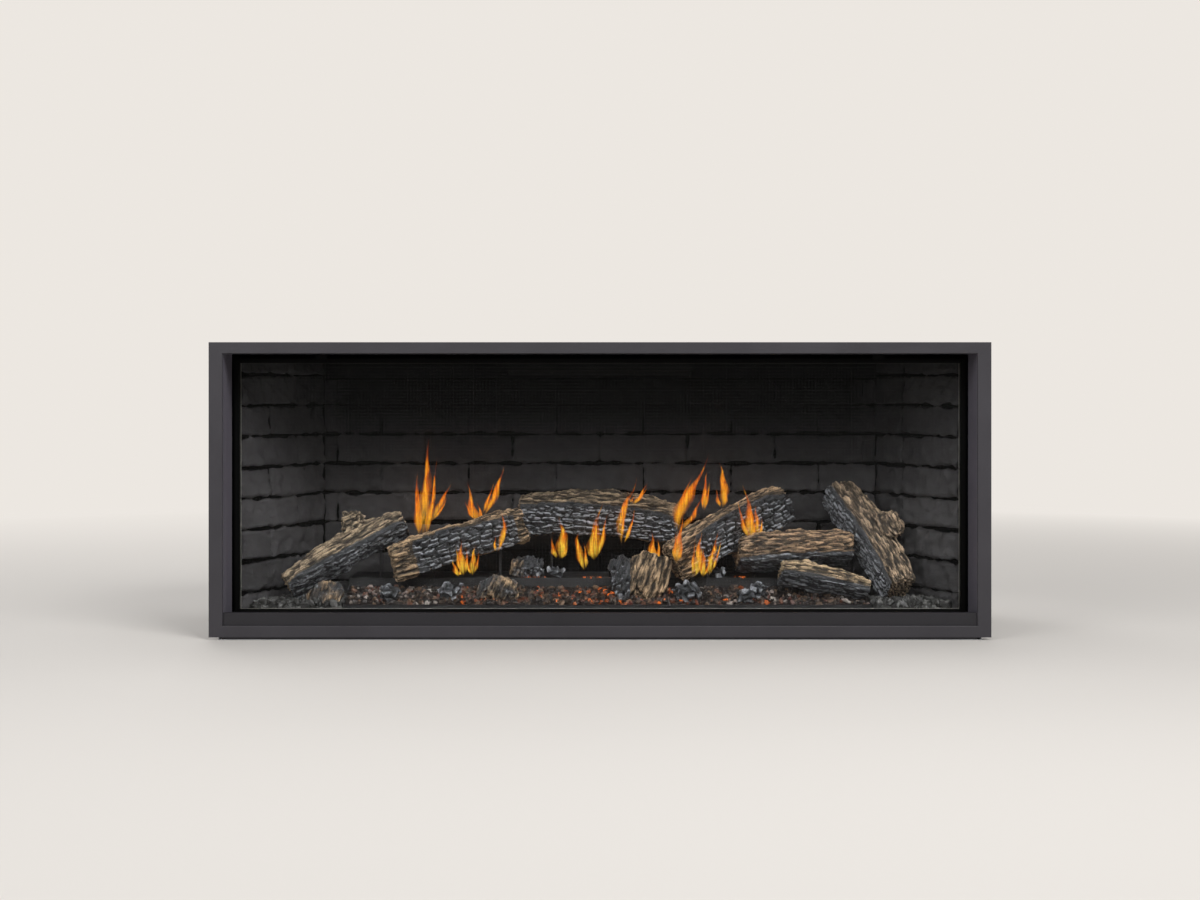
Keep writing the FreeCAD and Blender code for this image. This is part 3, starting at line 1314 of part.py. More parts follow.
def build_fire():
    """Ceramic logs on support pins, split chunks, charcoal lumps, embers and gravel."""
    solids = {}
    for name, (ends, radius, taper, seed, bow, stands) in LOGS.items():
        start, end = (spot(*place) for place in ends)
        solid = log_solid(start, end, radius, taper, seed, bow)
        if name in STUBS:
            (root, tip), girth = STUBS[name]
            branch = log_solid(spot(*root), spot(*tip), girth, 0.85, seed + 1, 0)
            solid = largest(solid.fuse(branch))
        for other in solids.values():
            if solid.distToShape(other)[0] < 0.01:
                solid = largest(solid.cut(other))
        solids[name] = solid

    deck_front = number(deep("Sizes.deck_front_depth"))
    tray_right = number("Sizes.tray_right")
    tray_left = number("Sizes.tray_left")
    trough_back = number(deep("Sizes.trough_back_depth"))
    pin_radius = number("Sizes.pin_radius")
    bite = number("Sizes.pin_bite")
    play = number("Sizes.pin_play")
    pins = []
    for name, (ends, radius, taper, seed, bow, stands) in LOGS.items():
        start, end = (spot(*place) for place in ends)
        for share in stands:
            place = start + (end - start) * share
            on_tray = tray_left + pin_radius < place.x < tray_right - pin_radius
            foot = number("Sizes.floor_height")
            if on_tray and place.y > deck_front + pin_radius:
                foot = number("Sizes.deck_height")
            elif on_tray and place.y > trough_back - pin_radius:
                place.y = deck_front + 2 * pin_radius
                foot = number("Sizes.deck_height")
            elif on_tray:
                foot = number("Sizes.trough_height")
            top = underside(solids[name], place.x, place.y) + bite
            if top - foot < 2 * bite:
                continue
            base = Vector(place.x, place.y, foot)
            pins.append(Part.makeCylinder(pin_radius, top - foot, base))
            socket = Part.makeCylinder(pin_radius + play, top + play - foot, base)
            for crossed, solid in solids.items():
                if solid.distToShape(socket)[0] < 0.01:
                    solids[crossed] = largest(solid.cut(socket))
    for name, solid in solids.items():
        piece = doc.addObject("Part::Feature", name)
        piece.Shape = solid
        node(piece)
    stands = doc.addObject("Part::Feature", "log_support_pins")
    stands.Shape = Part.makeCompound(pins)
    node(stands)

    resting = list(solids.values()) + pins
    chunks = []
    for centre, half, seed in CHUNKS:
        chunk = seated(lump_solid(spot(*centre), Vector(*half), seed))
        chunks.append(settled(chunk, resting + chunks))
    pieces = doc.addObject("Part::Feature", "split_chunks")
    pieces.Shape = Part.makeCompound(chunks)
    node(pieces)
    lumps = []
    for x, depth, height, half, seed in LUMPS:
        lump = seated(lump_solid(spot(x, depth, height), Vector(half, half * 0.8, half * 0.75), seed))
        lumps.append(settled(lump, resting + chunks + lumps))
    coal = doc.addObject("Part::Feature", "charcoal_lumps")
    coal.Shape = Part.makeCompound(lumps)
    node(coal)
    resting = resting + chunks + lumps

    skin = number("Sizes.tray_sheet")
    front = number(deep("Sizes.tray_front_depth")) + skin
    back = number(deep("Sizes.trough_back_depth"))
    trough = number("Sizes.trough_height")
    low = number("Sizes.ember_front_height")
    high = number("Sizes.ember_back_height")
    deck = number("Sizes.deck_height")
    run = number("Sizes.deck_front_depth - Sizes.trough_back_depth")
    slope = run * (high - trough) / (deck - trough)
    outline = [(front, trough), (front, low), (back + slope, high), (back, trough), (front, trough)]
    corners = [Vector(tray_left + skin, y, z) for y, z in outline]
    heap = Part.Face(Part.makePolygon(corners)).extrude(Vector(tray_right - tray_left - 2 * skin, 0, 0))
    embers = doc.addObject("Part::Feature", "ember_bed")
    embers.Shape = settled(heap, resting)
    node(embers)

    floor = number("Sizes.floor_height")
    crest = floor + number("Sizes.gravel_rise")
    bank = number("Sizes.gravel_bank")
    near_depth = number("Sizes.brick_front_depth") + 2
    far_depth = near_depth + number("Sizes.gravel_reach")
    near = spot(0, near_depth, 0).y
    far = spot(0, far_depth, 0).y
    heaps = []
    for sign, edge in ((-1, tray_left - 1), (1, tray_right + 1)):
        near_x = sign * (number(splayed(str(near_depth), "0")) - 2)
        far_x = sign * (number(splayed(str(far_depth), "0")) - 2)
        base = [Vector(edge, near, floor), Vector(near_x, near, floor)]
        base += [Vector(far_x, far, floor), Vector(edge, far, floor)]
        inset = [Vector(edge, near + bank, crest), Vector(near_x - sign * bank, near + bank, crest)]
        inset += [Vector(far_x - sign * bank, far - bank, crest), Vector(edge, far - bank, crest)]
        wires = [Part.makePolygon(loop + loop[:1]) for loop in (base, inset)]
        mound = Part.makeLoft(wires, True, True)
        heaps.append(settled(mound, resting))
    gravel = doc.addObject("Part::Feature", "gravel_beds")
    gravel.Shape = Part.makeCompound(heaps)
    node(gravel)


def largest(shape):
    """The biggest solid of a shape."""
    return max(shape.Solids, key=lambda solid: solid.Volume)


def settled(solid, others):
    """A loose piece with the room of its neighbours taken out of it."""
    for other in others:
        if solid.BoundBox.intersect(other.BoundBox) and solid.distToShape(other)[0] < 0.01:
            solid = largest(solid.cut(other))
    return solid


def build_pilot():
    """Pilot burner on its bracket behind the middle chunk, with electrode and flame sensor."""
    deck = "Sizes.deck_height"
    x = 40
    y = f"({deep('Sizes.deck_front_depth')} + 34)"
    wide = (f"{x - 20}", f"{x + 20}")
    broad = (f"{y} - 10", f"{y} + 10")
    foot = block("pilot_foot", wide, broad, (deck, f"{deck} + 1.5"))
    post = block("pilot_post", wide, (f"{y} + 8.5", f"{y} + 10"), (deck, f"{deck} + 30"))
    shelf = block("pilot_shelf", wide, broad, (f"{deck} + 28.5", f"{deck} + 30"))
    hood = rod("pilot_tube", "z", (f"{x}", y), (f"{deck} + 12", f"{deck} + 46"), "5")
    cap_z = (f"{deck} + 45", f"{deck} + 47")
    cap = block("pilot_cap", (f"{x - 9}", f"{x + 9}"), (f"{y} - 6", f"{y} + 6"), cap_z)
    holes = []
    for tag, side in (("electrode", -13), ("sensor", 13)):
        span = (f"{deck} + 20", f"{deck} + 35")
        holes.append(rod(f"pilot_{tag}_hole", "z", (f"{x + side}", y), span, "3.2"))
    node(cut("pilot_burner", fuse("pilot_body", foot, post, shelf, hood, cap), *holes))
    probes = []
    for tag, side in (("electrode", -13), ("sensor", 13)):
        sleeve = rod(f"{tag}_sleeve", "z", (f"{x + side}", y), (f"{deck} + 10", f"{deck} + 34"), "3.1")
        collar = rod(f"{tag}_collar", "z", (f"{x + side}", y), (f"{deck} + 30", f"{deck} + 33"), "4.6")
        needle = rod(f"{tag}_needle", "z", (f"{x + side}", y), (f"{deck} + 33", f"{deck} + 52"), "1.5")
        probes.append(fuse(f"{tag}_probe", sleeve, collar, needle))
    node(group("pilot_probes", *probes))


build_casing()
build_screws()
build_trim()
build_firebox()
build_liner()
build_vent()
build_door()
build_burner()
build_pilot()
build_controls()
build_fire()
doc.recompute()

os.makedirs("parts", exist_ok=True)
for piece in NODES:
    wrong = [state for state in piece.State if state not in ("Up-to-date",)]
    if wrong or piece.Shape.isNull() or not piece.Shape.isValid() or not piece.Shape.Solids:
        raise RuntimeError(f"{piece.Label}: {piece.State} {piece.Shape}")
    piece.Shape.exportStep(f"parts/{piece.Label}.step")
print(f"{len(NODES)} nodes written")
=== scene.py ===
"""Looks of a built-in gas fireplace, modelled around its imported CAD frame."""

import json
import math
import random

import bpy
from mathutils import Matrix, Quaternion, Vector

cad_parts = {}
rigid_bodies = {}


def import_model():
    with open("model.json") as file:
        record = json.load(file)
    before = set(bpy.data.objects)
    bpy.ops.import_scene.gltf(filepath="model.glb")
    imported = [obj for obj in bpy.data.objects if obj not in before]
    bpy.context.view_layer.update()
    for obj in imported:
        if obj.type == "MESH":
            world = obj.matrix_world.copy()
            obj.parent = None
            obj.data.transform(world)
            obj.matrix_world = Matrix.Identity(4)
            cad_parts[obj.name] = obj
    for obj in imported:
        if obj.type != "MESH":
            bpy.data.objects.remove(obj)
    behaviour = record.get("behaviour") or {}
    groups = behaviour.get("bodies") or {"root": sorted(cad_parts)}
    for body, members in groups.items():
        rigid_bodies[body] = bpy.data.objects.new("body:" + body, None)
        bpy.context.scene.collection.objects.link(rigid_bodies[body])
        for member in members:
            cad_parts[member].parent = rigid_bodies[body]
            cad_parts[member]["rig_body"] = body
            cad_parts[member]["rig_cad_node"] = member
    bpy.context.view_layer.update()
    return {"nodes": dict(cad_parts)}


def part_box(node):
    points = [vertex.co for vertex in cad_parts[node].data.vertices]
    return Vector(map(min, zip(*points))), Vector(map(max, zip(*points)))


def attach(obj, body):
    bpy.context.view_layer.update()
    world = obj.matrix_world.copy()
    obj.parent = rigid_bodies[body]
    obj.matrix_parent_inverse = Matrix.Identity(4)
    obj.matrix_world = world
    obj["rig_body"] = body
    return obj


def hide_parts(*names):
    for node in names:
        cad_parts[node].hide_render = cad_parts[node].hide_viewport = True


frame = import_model()

bl_info = {
    "name": "Gas Fireplace",
    "version": (1, 0, 0),
    "blender": (4, 5, 0),
    "location": "View3D > Sidebar > Fireplace",
    "description": "Models the brick liner, log set, embers, flames and finishes of a built-in gas fireplace",
    "category": "Object",
}

MM = 0.001
TRIM_FACE_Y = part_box("trim_frame")[0].y


def at_depth(depth):
    """The Y of a depth in millimetres behind the face of the trim."""
    return TRIM_FACE_Y + depth * MM


def spot(x, depth, z):
    """A place given in millimetres: across, behind the trim, and up."""
    return Vector((x * MM, at_depth(depth), z * MM))


# Each log: its two ends in millimetres, its radius, the way its burnt split face looks, how far that
# face lies from the middle as a share of the radius, the share of each end that stayed unburnt, and
# how far its char broke into blocks
LOGS = {
    "log_left": (((-682, 192, 84), (-436, 266, 222)), 50, (0.1, -0.55, -0.8), 0.3, (0.0, 0.0), 0.35),
    "log_left_centre": (((-456, 216, 139), (-172, 272, 221)), 47, (0.1, -0.97, -0.12), 0.62, (0.2, 0.1), 1.0),
    "log_rear": (((-182, 345, 238), (174, 345, 216)), 56, (0.0, -0.94, -0.3), 0.6, (0.0, 0.0), 0.85),
    "log_centre_right": (((164, 218, 140), (420, 322, 266)), 51, (0.2, -0.95, -0.2), 0.6, (0.24, 0.0), 1.0),
    "log_right_rear": (((306, 250, 146), (560, 266, 158)), 56, (0.0, -0.4, -0.92), 0.3, (0.0, 0.0), 0.3),
    "log_right_leaning": (((536, 352, 288), (650, 198, 84)), 54, (-0.82, -0.45, -0.36), 0.5, (0.0, 0.0), 0.6),
    "log_right_front": (((398, 184, 120), (586, 184, 80)), 37, (0.0, -0.5, -0.87), 0.25, (0.0, 0.0), 0.3),
}

# Each flame: how yellow it is, its depth, and its tongues as half width and the line of the middle
FLAMES = {
    "flame_left_tall": (0.3, 300, (
        (17, ((-402, 176), (-396, 270), (-388, 345), (-387, 420))),
        (10, ((-384, 222), (-364, 262), (-350, 288), (-338, 314))),
        (7, ((-409, 190), (-412, 270), (-411, 324))),
    )),
    "flame_left_pair": (0.2, 300, (
        (13, ((-274, 222), (-290, 262), (-299, 320))),
        (11, ((-264, 236), (-242, 277), (-228, 317), (-218, 356))),
    )),
    "flame_left_low": (0.9, 196, (
        (11, ((-300, 112), (-306, 158), (-308, 196))),
        (9, ((-282, 112), (-280, 152), (-275, 185))),
        (8, ((-312, 110), (-320, 132), (-326, 152))),
    )),
    "flame_left_thin": (0.6, 200, (
        (8, ((-228, 162), (-213, 206), (-211, 235), (-218, 260))),
    )),
    "flame_middle_low": (0.95, 262, (
        (16, ((-92, 140), (-84, 178), (-83, 212), (-90, 244))),
        (10, ((-34, 116), (-45, 156), (-51, 189), (-49, 210))),
        (18, ((-14, 138), (-13, 178), (-7, 223), (5, 277))),
    )),
    "flame_middle": (0.4, 268, (
        (11, ((50, 172), (45, 222), (56, 267), (72, 296), (81, 331))),
        (9, ((72, 266), (90, 285), (108, 320))),
    )),
    "flame_middle_small": (0.8, 240, (
        (13, ((122, 134), (116, 173), (116, 212))),
    )),
    "flame_right_front": (0.5, 156, (
        (12, ((166, 142), (172, 196), (180, 256))),
    )),
    "flame_right_tall": (0.25, 302, (
        (20, ((176, 200), (182, 254), (203, 292), (221, 326), (245, 387))),
        (8, ((235, 246), (238, 299), (243, 346))),
        (12, ((278, 252), (281, 298), (277, 332), (269, 362))),
    )),
    "flame_right_log": (0.5, 221, (
        (14, ((338, 182), (333, 226), (328, 270), (318, 320))),
        (9, ((350, 196), (348, 237), (344, 272))),
    )),
    "flame_right_low": (0.95, 171, (
        (11, ((206, 108), (215, 153), (217, 186), (221, 217))),
        (9, ((238, 112), (245, 157), (254, 186), (260, 222))),
        (8, ((226, 110), (228, 150), (228, 180))),
    )),
}


# Brick panels: the height of their foot, the slab behind the bricks as depths behind the panel's face,
# how far a brick bites into the slab and stands out from the face, the shortest brick, the size of the
# faces that a brick is sculpted in, along and up, and how far a brick may lean and turn
PANEL_FOOT = 0.0235
SLAB_FRONT = 0.006
SLAB_BACK = 0.0118
BRICK_BITE = 0.002
BRICK_PROUD = (0.001, 0.004)
SHORTEST_BRICK = 0.028
BRICK_FACE = (0.0125, 0.0115)
BRICK_LEAN = (-0.12, -0.07)
BRICK_TURN = (-0.012, 0.012)

# Sooting and painted shade on the bricks, in metres: the heights where it begins and is full above the fire,
# the half widths where the sides keep less of it, and the same for the dark patch of sooting and painted
# shadow behind the logs
SOOT_AND_SHADE_ABOVE = (0.26, 0.48)
LESS_SHADED_SIDES = (0.58, 0.74)
SOOT_AND_SHADE_BELOW = (0.15, 0.21)
BEHIND_LOGS = (0.36, 0.5)

# Stretches across the fire where the split chunks burnt less, and how far they burnt
CHUNK_BURNS = ((-1.0, -0.55, 0.5), (-0.28, -0.17, 0.5), (0.066, 1.0, 0.2))


def length_setting(label, description, default):
    """A length in the sidebar."""
    return bpy.props.FloatProperty(name=label, description=description, default=default, unit="LENGTH")


def count_setting(label, description, default):
    """A whole number in the sidebar."""
    return bpy.props.IntProperty(name=label, description=description, default=default, min=0)


def colour_setting(label, description, default):
    """A colour in the sidebar."""
    return bpy.props.FloatVectorProperty(
        name=label, description=description, default=default, subtype="COLOR")


class FireplaceSizes(bpy.types.PropertyGroup):
    """Sizes that a user would change."""

    brick_length: length_setting("Brick Length", "Length of a brick with its joint", 0.203)
    brick_course: length_setting("Brick Course", "Height of a brick with its joint", 0.068)
    first_joint: length_setting("First Joint", "Height of the lowest bed joint", 0.0827)
    joint_width: length_setting("Joint Width", "Gap between two bricks in a course", 0.0012)
    bed_width: length_setting("Bed Width", "Gap between two courses of brick", 0.006)
    brick_rounding: length_setting("Brick Rounding", "Rounding of the worn brick edges", 0.007)
    brick_relief: length_setting("Brick Relief", "How far the brick edges wander", 0.012)
    bark_relief: length_setting("Bark Relief", "Depth of the furrows in the bark", 0.008)
    crack_depth: length_setting("Crack Depth", "Depth of the cracks in burnt wood", 0.006)
    log_grain: length_setting("Log Grain", "Size of the faces that a log is sculpted in", 0.0017)
    wire_pitch: length_setting("Wire Pitch", "Distance between the wires of the screen", 0.0031)
    wire_radius: length_setting("Wire Radius", "Radius of a wire of the screen", 0.00014)
    ember_chips: count_setting("Ember Chips", "Number of loose chips on the ember bed", 1500)
    gravel_stones: count_setting("Gravel Stones", "Number of stones in each gravel bed", 380)


class FireplaceColours(bpy.types.PropertyGroup):
    """Colours that a user would change."""

    trim: colour_setting("Trim", "Powder coat of the trim", (0.03, 0.028, 0.034))
    brick: colour_setting("Brick", "Face of the bricks", (0.076, 0.074, 0.077))
    bark: colour_setting("Bark", "Crests of the bark", (0.5, 0.375, 0.25))
    furrow: colour_setting("Furrow", "Furrows of the bark", (0.022, 0.018, 0.015))
    char: colour_setting("Char", "Burnt wood", (0.034, 0.036, 0.041))
    # The ash colour is also the painted highlight on the upper edges of burnt wood.
    ash: colour_setting("Ash", "Pale edges of burnt wood", (0.42, 0.44, 0.48))
    glow: colour_setting("Glow", "Glowing embers", (1.0, 0.2, 0.015))
    flame: colour_setting("Flame", "Body of the flames", (1.0, 0.21, 0.011))
    gravel: colour_setting("Gravel", "Stones beside the burner", (0.1, 0.099, 0.097))
    backdrop: colour_setting("Backdrop", "Floor and background", (0.84, 0.8, 0.753))


def sizes():
    """The sizes set in the sidebar."""
    return bpy.context.scene.fireplace_sizes


def colours():
    """The colours set in the sidebar."""
    return bpy.context.scene.fireplace_colours


def opaque(colour):
    """A colour with full alpha, as colour sockets want it."""
    return (colour[0], colour[1], colour[2], 1.0)


def grey(value):
    """A grey with full alpha."""
    return (value, value, value, 1.0)


def shade(colour, factor):
    """A colour made darker or lighter, with full alpha."""
    return tuple(min(channel * factor, 1.0) for channel in colour[:3]) + (1.0,)


def deselect():
    """Leaves edit mode and selects nothing."""
    active = bpy.context.view_layer.objects.active
    if active is not None and active.mode != "OBJECT":
        bpy.ops.object.mode_set(mode="OBJECT")
    bpy.ops.object.select_all(action="DESELECT")


def take(piece):
    """Makes a piece the only selected object."""
    deselect()
    bpy.context.view_layer.objects.active = piece
    piece.select_set(True)


def added(name):
    """The object that the last operator added, under its own name."""
    piece = bpy.context.view_layer.objects.active
    piece.name = name
    piece.data.name = name
    return piece


def edit(piece, select="SELECT"):
    """Opens a piece for editing with all of it selected, or nothing."""
    take(piece)
    bpy.ops.object.mode_set(mode="EDIT")
    bpy.ops.mesh.select_all(action=select)


def modify(piece, kind, **settings):
    """Adds one modifier with its settings and applies it."""
    take(piece)
    modifier = piece.modifiers.new(kind.title(), kind)
    for setting, value in settings.items():
        setattr(modifier, setting, value)
    bpy.ops.object.modifier_apply(modifier=modifier.name)


def settle(piece):
    """Puts the place, turn and scale of a piece into its mesh."""
    take(piece)
    bpy.ops.object.transform_apply(location=True, rotation=True, scale=True)


def joined(pieces, name):
    """Joins pieces into one."""
    deselect()
    for piece in pieces:
        piece.select_set(True)
    bpy.context.view_layer.objects.active = pieces[0]
    bpy.ops.object.join()
    return added(name)


def copied(piece, matrix):
    """A copy of a piece with its own mesh, moved in the mesh."""
    twin = piece.copy()
    twin.data = piece.data.copy()
    bpy.context.scene.collection.objects.link(twin)
    twin.data.transform(matrix)
    return twin


def discard(*pieces):
    """Deletes helper objects."""
    deselect()
    for piece in pieces:
        piece.select_set(True)
    bpy.ops.object.delete()


def copy_of_node(node, name):
    """A free, merged copy of a CAD node to sculpt from."""
    take(frame["nodes"][node])
    bpy.ops.object.duplicate()
    piece = added(name)
    piece.parent = None
    del piece["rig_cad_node"]
    del piece["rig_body"]
    piece.data.materials.clear()
    edit(piece)
    bpy.ops.mesh.remove_doubles(threshold=1e-5)
    bpy.ops.object.mode_set(mode="OBJECT")
    return piece


def remesh(piece, grain):
    """Rebuilds a piece in even faces of one size."""
    take(piece)
    piece.data.remesh_voxel_size = grain
    bpy.ops.object.voxel_remesh()


def write_values(piece, name, values):
    """Stores one number per vertex for the materials to read."""
    layer = piece.data.attributes.get(name) or piece.data.attributes.new(name, "FLOAT", "POINT")
    layer.data.foreach_set("value", values)


def mark(piece, **marks):
    """Stores the same number on all vertices of a piece, under each name."""
    for name, value in marks.items():
        write_values(piece, name, [value] * len(piece.data.vertices))


def points_of(piece):
    """The places of the vertices as they are now."""
    return [vertex.co.copy() for vertex in piece.data.vertices]


def normals_of(piece):
    """The normals of the vertices as they are now."""
    return [vertex.normal.copy() for vertex in piece.data.vertices]


def lifts_of(piece, before, normals):
    """How far each vertex has moved along its former normal."""
    moved = zip(piece.data.vertices, before, normals)
    return [(vertex.co - old).dot(normal) for vertex, old, normal in moved]


def displace(piece, texture, strength, mid_level=0.5, group="", axes=None, kept=""):
    """Displaces a piece by a texture. With a name to keep, stores how high it lifted each vertex."""
    before = points_of(piece)
    aside = normals_of(piece)
    settings = {"texture": texture, "strength": strength, "mid_level": mid_level, "vertex_group": group}
    settings["texture_coords"] = "OBJECT" if axes else "LOCAL"
    if axes:
        settings["texture_coords_object"] = axes
    modify(piece, "DISPLACE", **settings)
    if kept:
        lifts = lifts_of(piece, before, aside)
        write_values(piece, kept, [min(max(mid_level + lift / strength, 0.0), 1.0) for lift in lifts])


def weigh(piece, name, weights):
    """Stores one weight per vertex for the modifiers to read."""
    group = piece.vertex_groups.new(name=name)
    for index, weight in enumerate(weights):
        group.add([index], weight, "REPLACE")
    return group.name


def smooth_step(low, high, value):
    """0 below low, 1 above high, eased between them."""
    share = min(max((value - low) / (high - low), 0.0), 1.0)
    return share * share * (3.0 - 2.0 * share)


def clouds(name, size, depth=3, contrast=1.0):
    """A soft texture for displacement."""
    texture = bpy.data.textures.new(name, "CLOUDS")
    texture.noise_scale = size
    texture.noise_depth = depth
    texture.contrast = contrast
    return texture


def cracks(name, size, steepness=10.0, metric="DISTANCE"):
    """A texture of flat blocks with cracks between them for displacement."""
    texture = bpy.data.textures.new(name, "VORONOI")
    texture.noise_scale = size
    texture.weight_1 = -1.0
    texture.weight_2 = 1.0
    texture.distance_metric = metric
    texture.noise_intensity = steepness
    texture.use_clamp = True
    return texture


def grain_axes(middle, along, stretch):
    """An empty whose space is stretched along a direction, for textures with a grain."""
    deselect()
    bpy.ops.object.empty_add()
    empty = bpy.context.view_layer.objects.active
    turn = along.to_track_quat("Z", "Y")
    empty.matrix_world = Matrix.LocRotScale(middle, turn, Vector((1.0, 1.0, stretch)))
    bpy.context.view_layer.update()
    return empty


def finish_piece(piece, body, slot, material, *nodes):
    """Gives a piece its material and its body, and hides the CAD nodes it stands for."""
    piece.data.materials.clear()
    piece.data.materials.append(material)
    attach(piece, body)
    if nodes:
        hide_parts(*nodes)


def place(tree, kind, inputs=None, **options):
    """Adds a node. A socket that is given another node's output is linked to it."""
    made = tree.nodes.new(kind)
    for option, value in options.items():
        setattr(made, option, value)
    for socket, value in (inputs or {}).items():
        if isinstance(value, bpy.types.NodeSocket):
            tree.links.new(value, made.inputs[socket])
        else:
            made.inputs[socket].default_value = value
    return made


def blended(tree, factor, first, second):
    """The colour between two colours."""
    inputs = {0: factor, 6: first, 7: second}
    return place(tree, "ShaderNodeMix", inputs, data_type="RGBA").outputs[2]


def sums(tree, operation, first, second=0.0, clamp=False):
    """The result of one Math node."""
    inputs = {0: first, 1: second}
    return place(tree, "ShaderNodeMath", inputs, operation=operation, use_clamp=clamp).outputs[0]


def product(tree, first, second):
    """Two values multiplied."""
    return sums(tree, "MULTIPLY", first, second)


def ranged(tree, value, low, high, to_low=0.0, to_high=1.0):
    """A value stretched from one range to another."""
    inputs = {"Value": value, "From Min": low, "From Max": high, "To Min": to_low, "To Max": to_high}
    return place(tree, "ShaderNodeMapRange", inputs).outputs["Result"]


def ramp(tree, factor, *stops):
    """The colour on a ramp."""
    made = place(tree, "ShaderNodeValToRGB", {"Fac": factor})
    points = made.color_ramp.elements
    while len(points) < len(stops):
        points.new(1.0)
    for point, (position, colour) in zip(points, stops):
        point.position = position
        point.color = colour
    return made.outputs["Color"]


def noise(tree, vector, scale, detail=4.0, roughness=0.55, distortion=0.0):
    """A noise value."""
    inputs = {"Vector": vector, "Scale": scale, "Detail": detail}
    inputs.update({"Roughness": roughness, "Distortion": distortion})
    return place(tree, "ShaderNodeTexNoise", inputs).outputs["Fac"]


def attribute(tree, name):
    """A number stored on the piece's vertices."""
    return place(tree, "ShaderNodeAttribute", attribute_name=name).outputs["Fac"]


def object_place(tree):
    """Object coordinates."""
    return place(tree, "ShaderNodeTexCoord").outputs["Object"]


def object_axes(tree):
    """Object coordinates as three values."""
    return place(tree, "ShaderNodeSeparateXYZ", {0: object_place(tree)}).outputs


def stretched(tree, vector, scale):
    """A vector with its axes scaled, for textures with a grain."""
    return place(tree, "ShaderNodeMapping", {"Vector": vector, "Scale": scale}).outputs["Vector"]


def bumped(tree, height, strength, distance):
    """A normal from a height."""
    inputs = {"Height": height, "Strength": strength, "Distance": distance}
    return place(tree, "ShaderNodeBump", inputs).outputs["Normal"]


def new_finish(name, **values):
    """A new material, its node tree and its shader, with plain values on the shader's own sockets."""
    material = bpy.data.materials.new(name)
    material.use_nodes = True
    tree = material.node_tree
    shader = tree.nodes["Principled BSDF"]
    for socket, value in values.items():
        shader.inputs[socket.replace("_", " ").title().replace("Ior", "IOR")].default_value = value
    return material, tree, shader


def feed(tree, shader, **sockets):
    """Links outputs to sockets of the shader."""
    for socket, output in sockets.items():
        tree.links.new(output, shader.inputs[socket.replace("_", " ").title()])


def surface_mix(tree, factor, first, second, output="Material Output"):
    """Sends the mix of two shaders to the output of a tree."""
    mix = place(tree, "ShaderNodeMixShader", {0: factor, 1: first, 2: second})
    tree.links.new(mix.outputs["Shader"], tree.nodes[output].inputs["Surface"])


def mottle_group():
    """Broad cloudy change of tone with a fine grain, shared by the coated and cast finishes."""
    found = bpy.data.node_groups.get("Mottle")
    if found:
        return found
    group = bpy.data.node_groups.new("Mottle", "ShaderNodeTree")
    group.interface.new_socket("Vector", in_out="INPUT", socket_type="NodeSocketVector")
    for side, names in (("INPUT", ("Scale", "Grain Scale")), ("OUTPUT", ("Cloud", "Grain"))):
        for name in names:
            group.interface.new_socket(name, in_out=side, socket_type="NodeSocketFloat")
    entry = group.nodes.new("NodeGroupInput").outputs
    leave = group.nodes.new("NodeGroupOutput").inputs
    broad = noise(group, entry["Vector"], entry["Scale"], 5.0, 0.6)
    fine = noise(group, entry["Vector"], entry["Grain Scale"], 3.0, 0.7)
    group.links.new(ranged(group, broad, 0.3, 0.7), leave["Cloud"])
    group.links.new(fine, leave["Grain"])
    return group


def mottle(tree, scale, grain_scale):
    """The shared mottle in a material."""
    inputs = {"Vector": object_place(tree), "Scale": scale, "Grain Scale": grain_scale}
    made = place(tree, "ShaderNodeGroup", inputs, node_tree=mottle_group())
    return made.outputs["Cloud"], made.outputs["Grain"]


def coated(name, colour, roughness, spread=0.14, metallic=0.0, scale=9.0,
           grain_scale=900.0, bump=0.12, shine=0.5):
    """A powder-coated, cast or moulded finish: slow change of tone, fine orange-peel grain."""
    material, tree, shader = new_finish(name, metallic=metallic, specular_ior_level=shine)
    cloud, grain = mottle(tree, scale, grain_scale)
    tone = blended(tree, cloud, shade(colour, 1.0 - spread), shade(colour, 1.0 + spread))
    speck = blended(tree, ranged(tree, grain, 0.35, 0.75), tone, shade(colour, 1.0 + 2.0 * spread))
    rough = ranged(tree, cloud, 0.0, 1.0, roughness - 0.06, roughness + 0.08)
    feed(tree, shader, base_color=speck, roughness=rough, normal=bumped(tree, grain, bump, 0.0006))
    return material


def trim_finish():
    """The powder coat of the trim, with painted light on the side returns that stands in for the light of the
    room they catch.
    """
    returns_begin = (0.788, 0.79)
    behind_face = (at_depth(4), at_depth(5))
    painted_light_gain = 5.2
    colour = colours().trim
    material = coated("trim_charcoal", colour, 0.4)
    tree = material.node_tree
    shader = tree.nodes["Principled BSDF"]
    axes = object_axes(tree)
    beside = ranged(tree, sums(tree, "ABSOLUTE", axes["X"]), *returns_begin)
    behind = ranged(tree, axes["Y"], *behind_face)
    coat = shader.inputs["Base Color"].links[0].from_socket
    # Painted light: the side returns behind the face get a paler copy of the coat.
    painted_light_coat = blended(tree, product(tree, beside, behind), coat, shade(colour, painted_light_gain))
    feed(tree, shader, base_color=painted_light_coat)
    return material


def zinc_finish():
    """Galvanised sheet: flat crystals of slightly different grey."""
    material, tree, shader = new_finish("casing_zinc", metallic=0.85)
    cells = place(tree, "ShaderNodeTexVoronoi", {"Vector": object_place(tree), "Scale": 80.0})
    crystal = place(tree, "ShaderNodeSeparateColor", {"Color": cells.outputs["Color"]}).outputs["Red"]
    cloud, grain = mottle(tree, 4.0, 600.0)
    sheet = blended(tree, crystal, (0.31, 0.32, 0.33, 1.0), (0.4, 0.41, 0.425, 1.0))
    dull = blended(tree, product(tree, cloud, 0.35), sheet, (0.28, 0.285, 0.29, 1.0))
    rough = ranged(tree, crystal, 0.0, 1.0, 0.6, 0.7)
    feed(tree, shader, base_color=dull, roughness=rough, normal=bumped(tree, grain, 0.05, 0.0004))
    return material


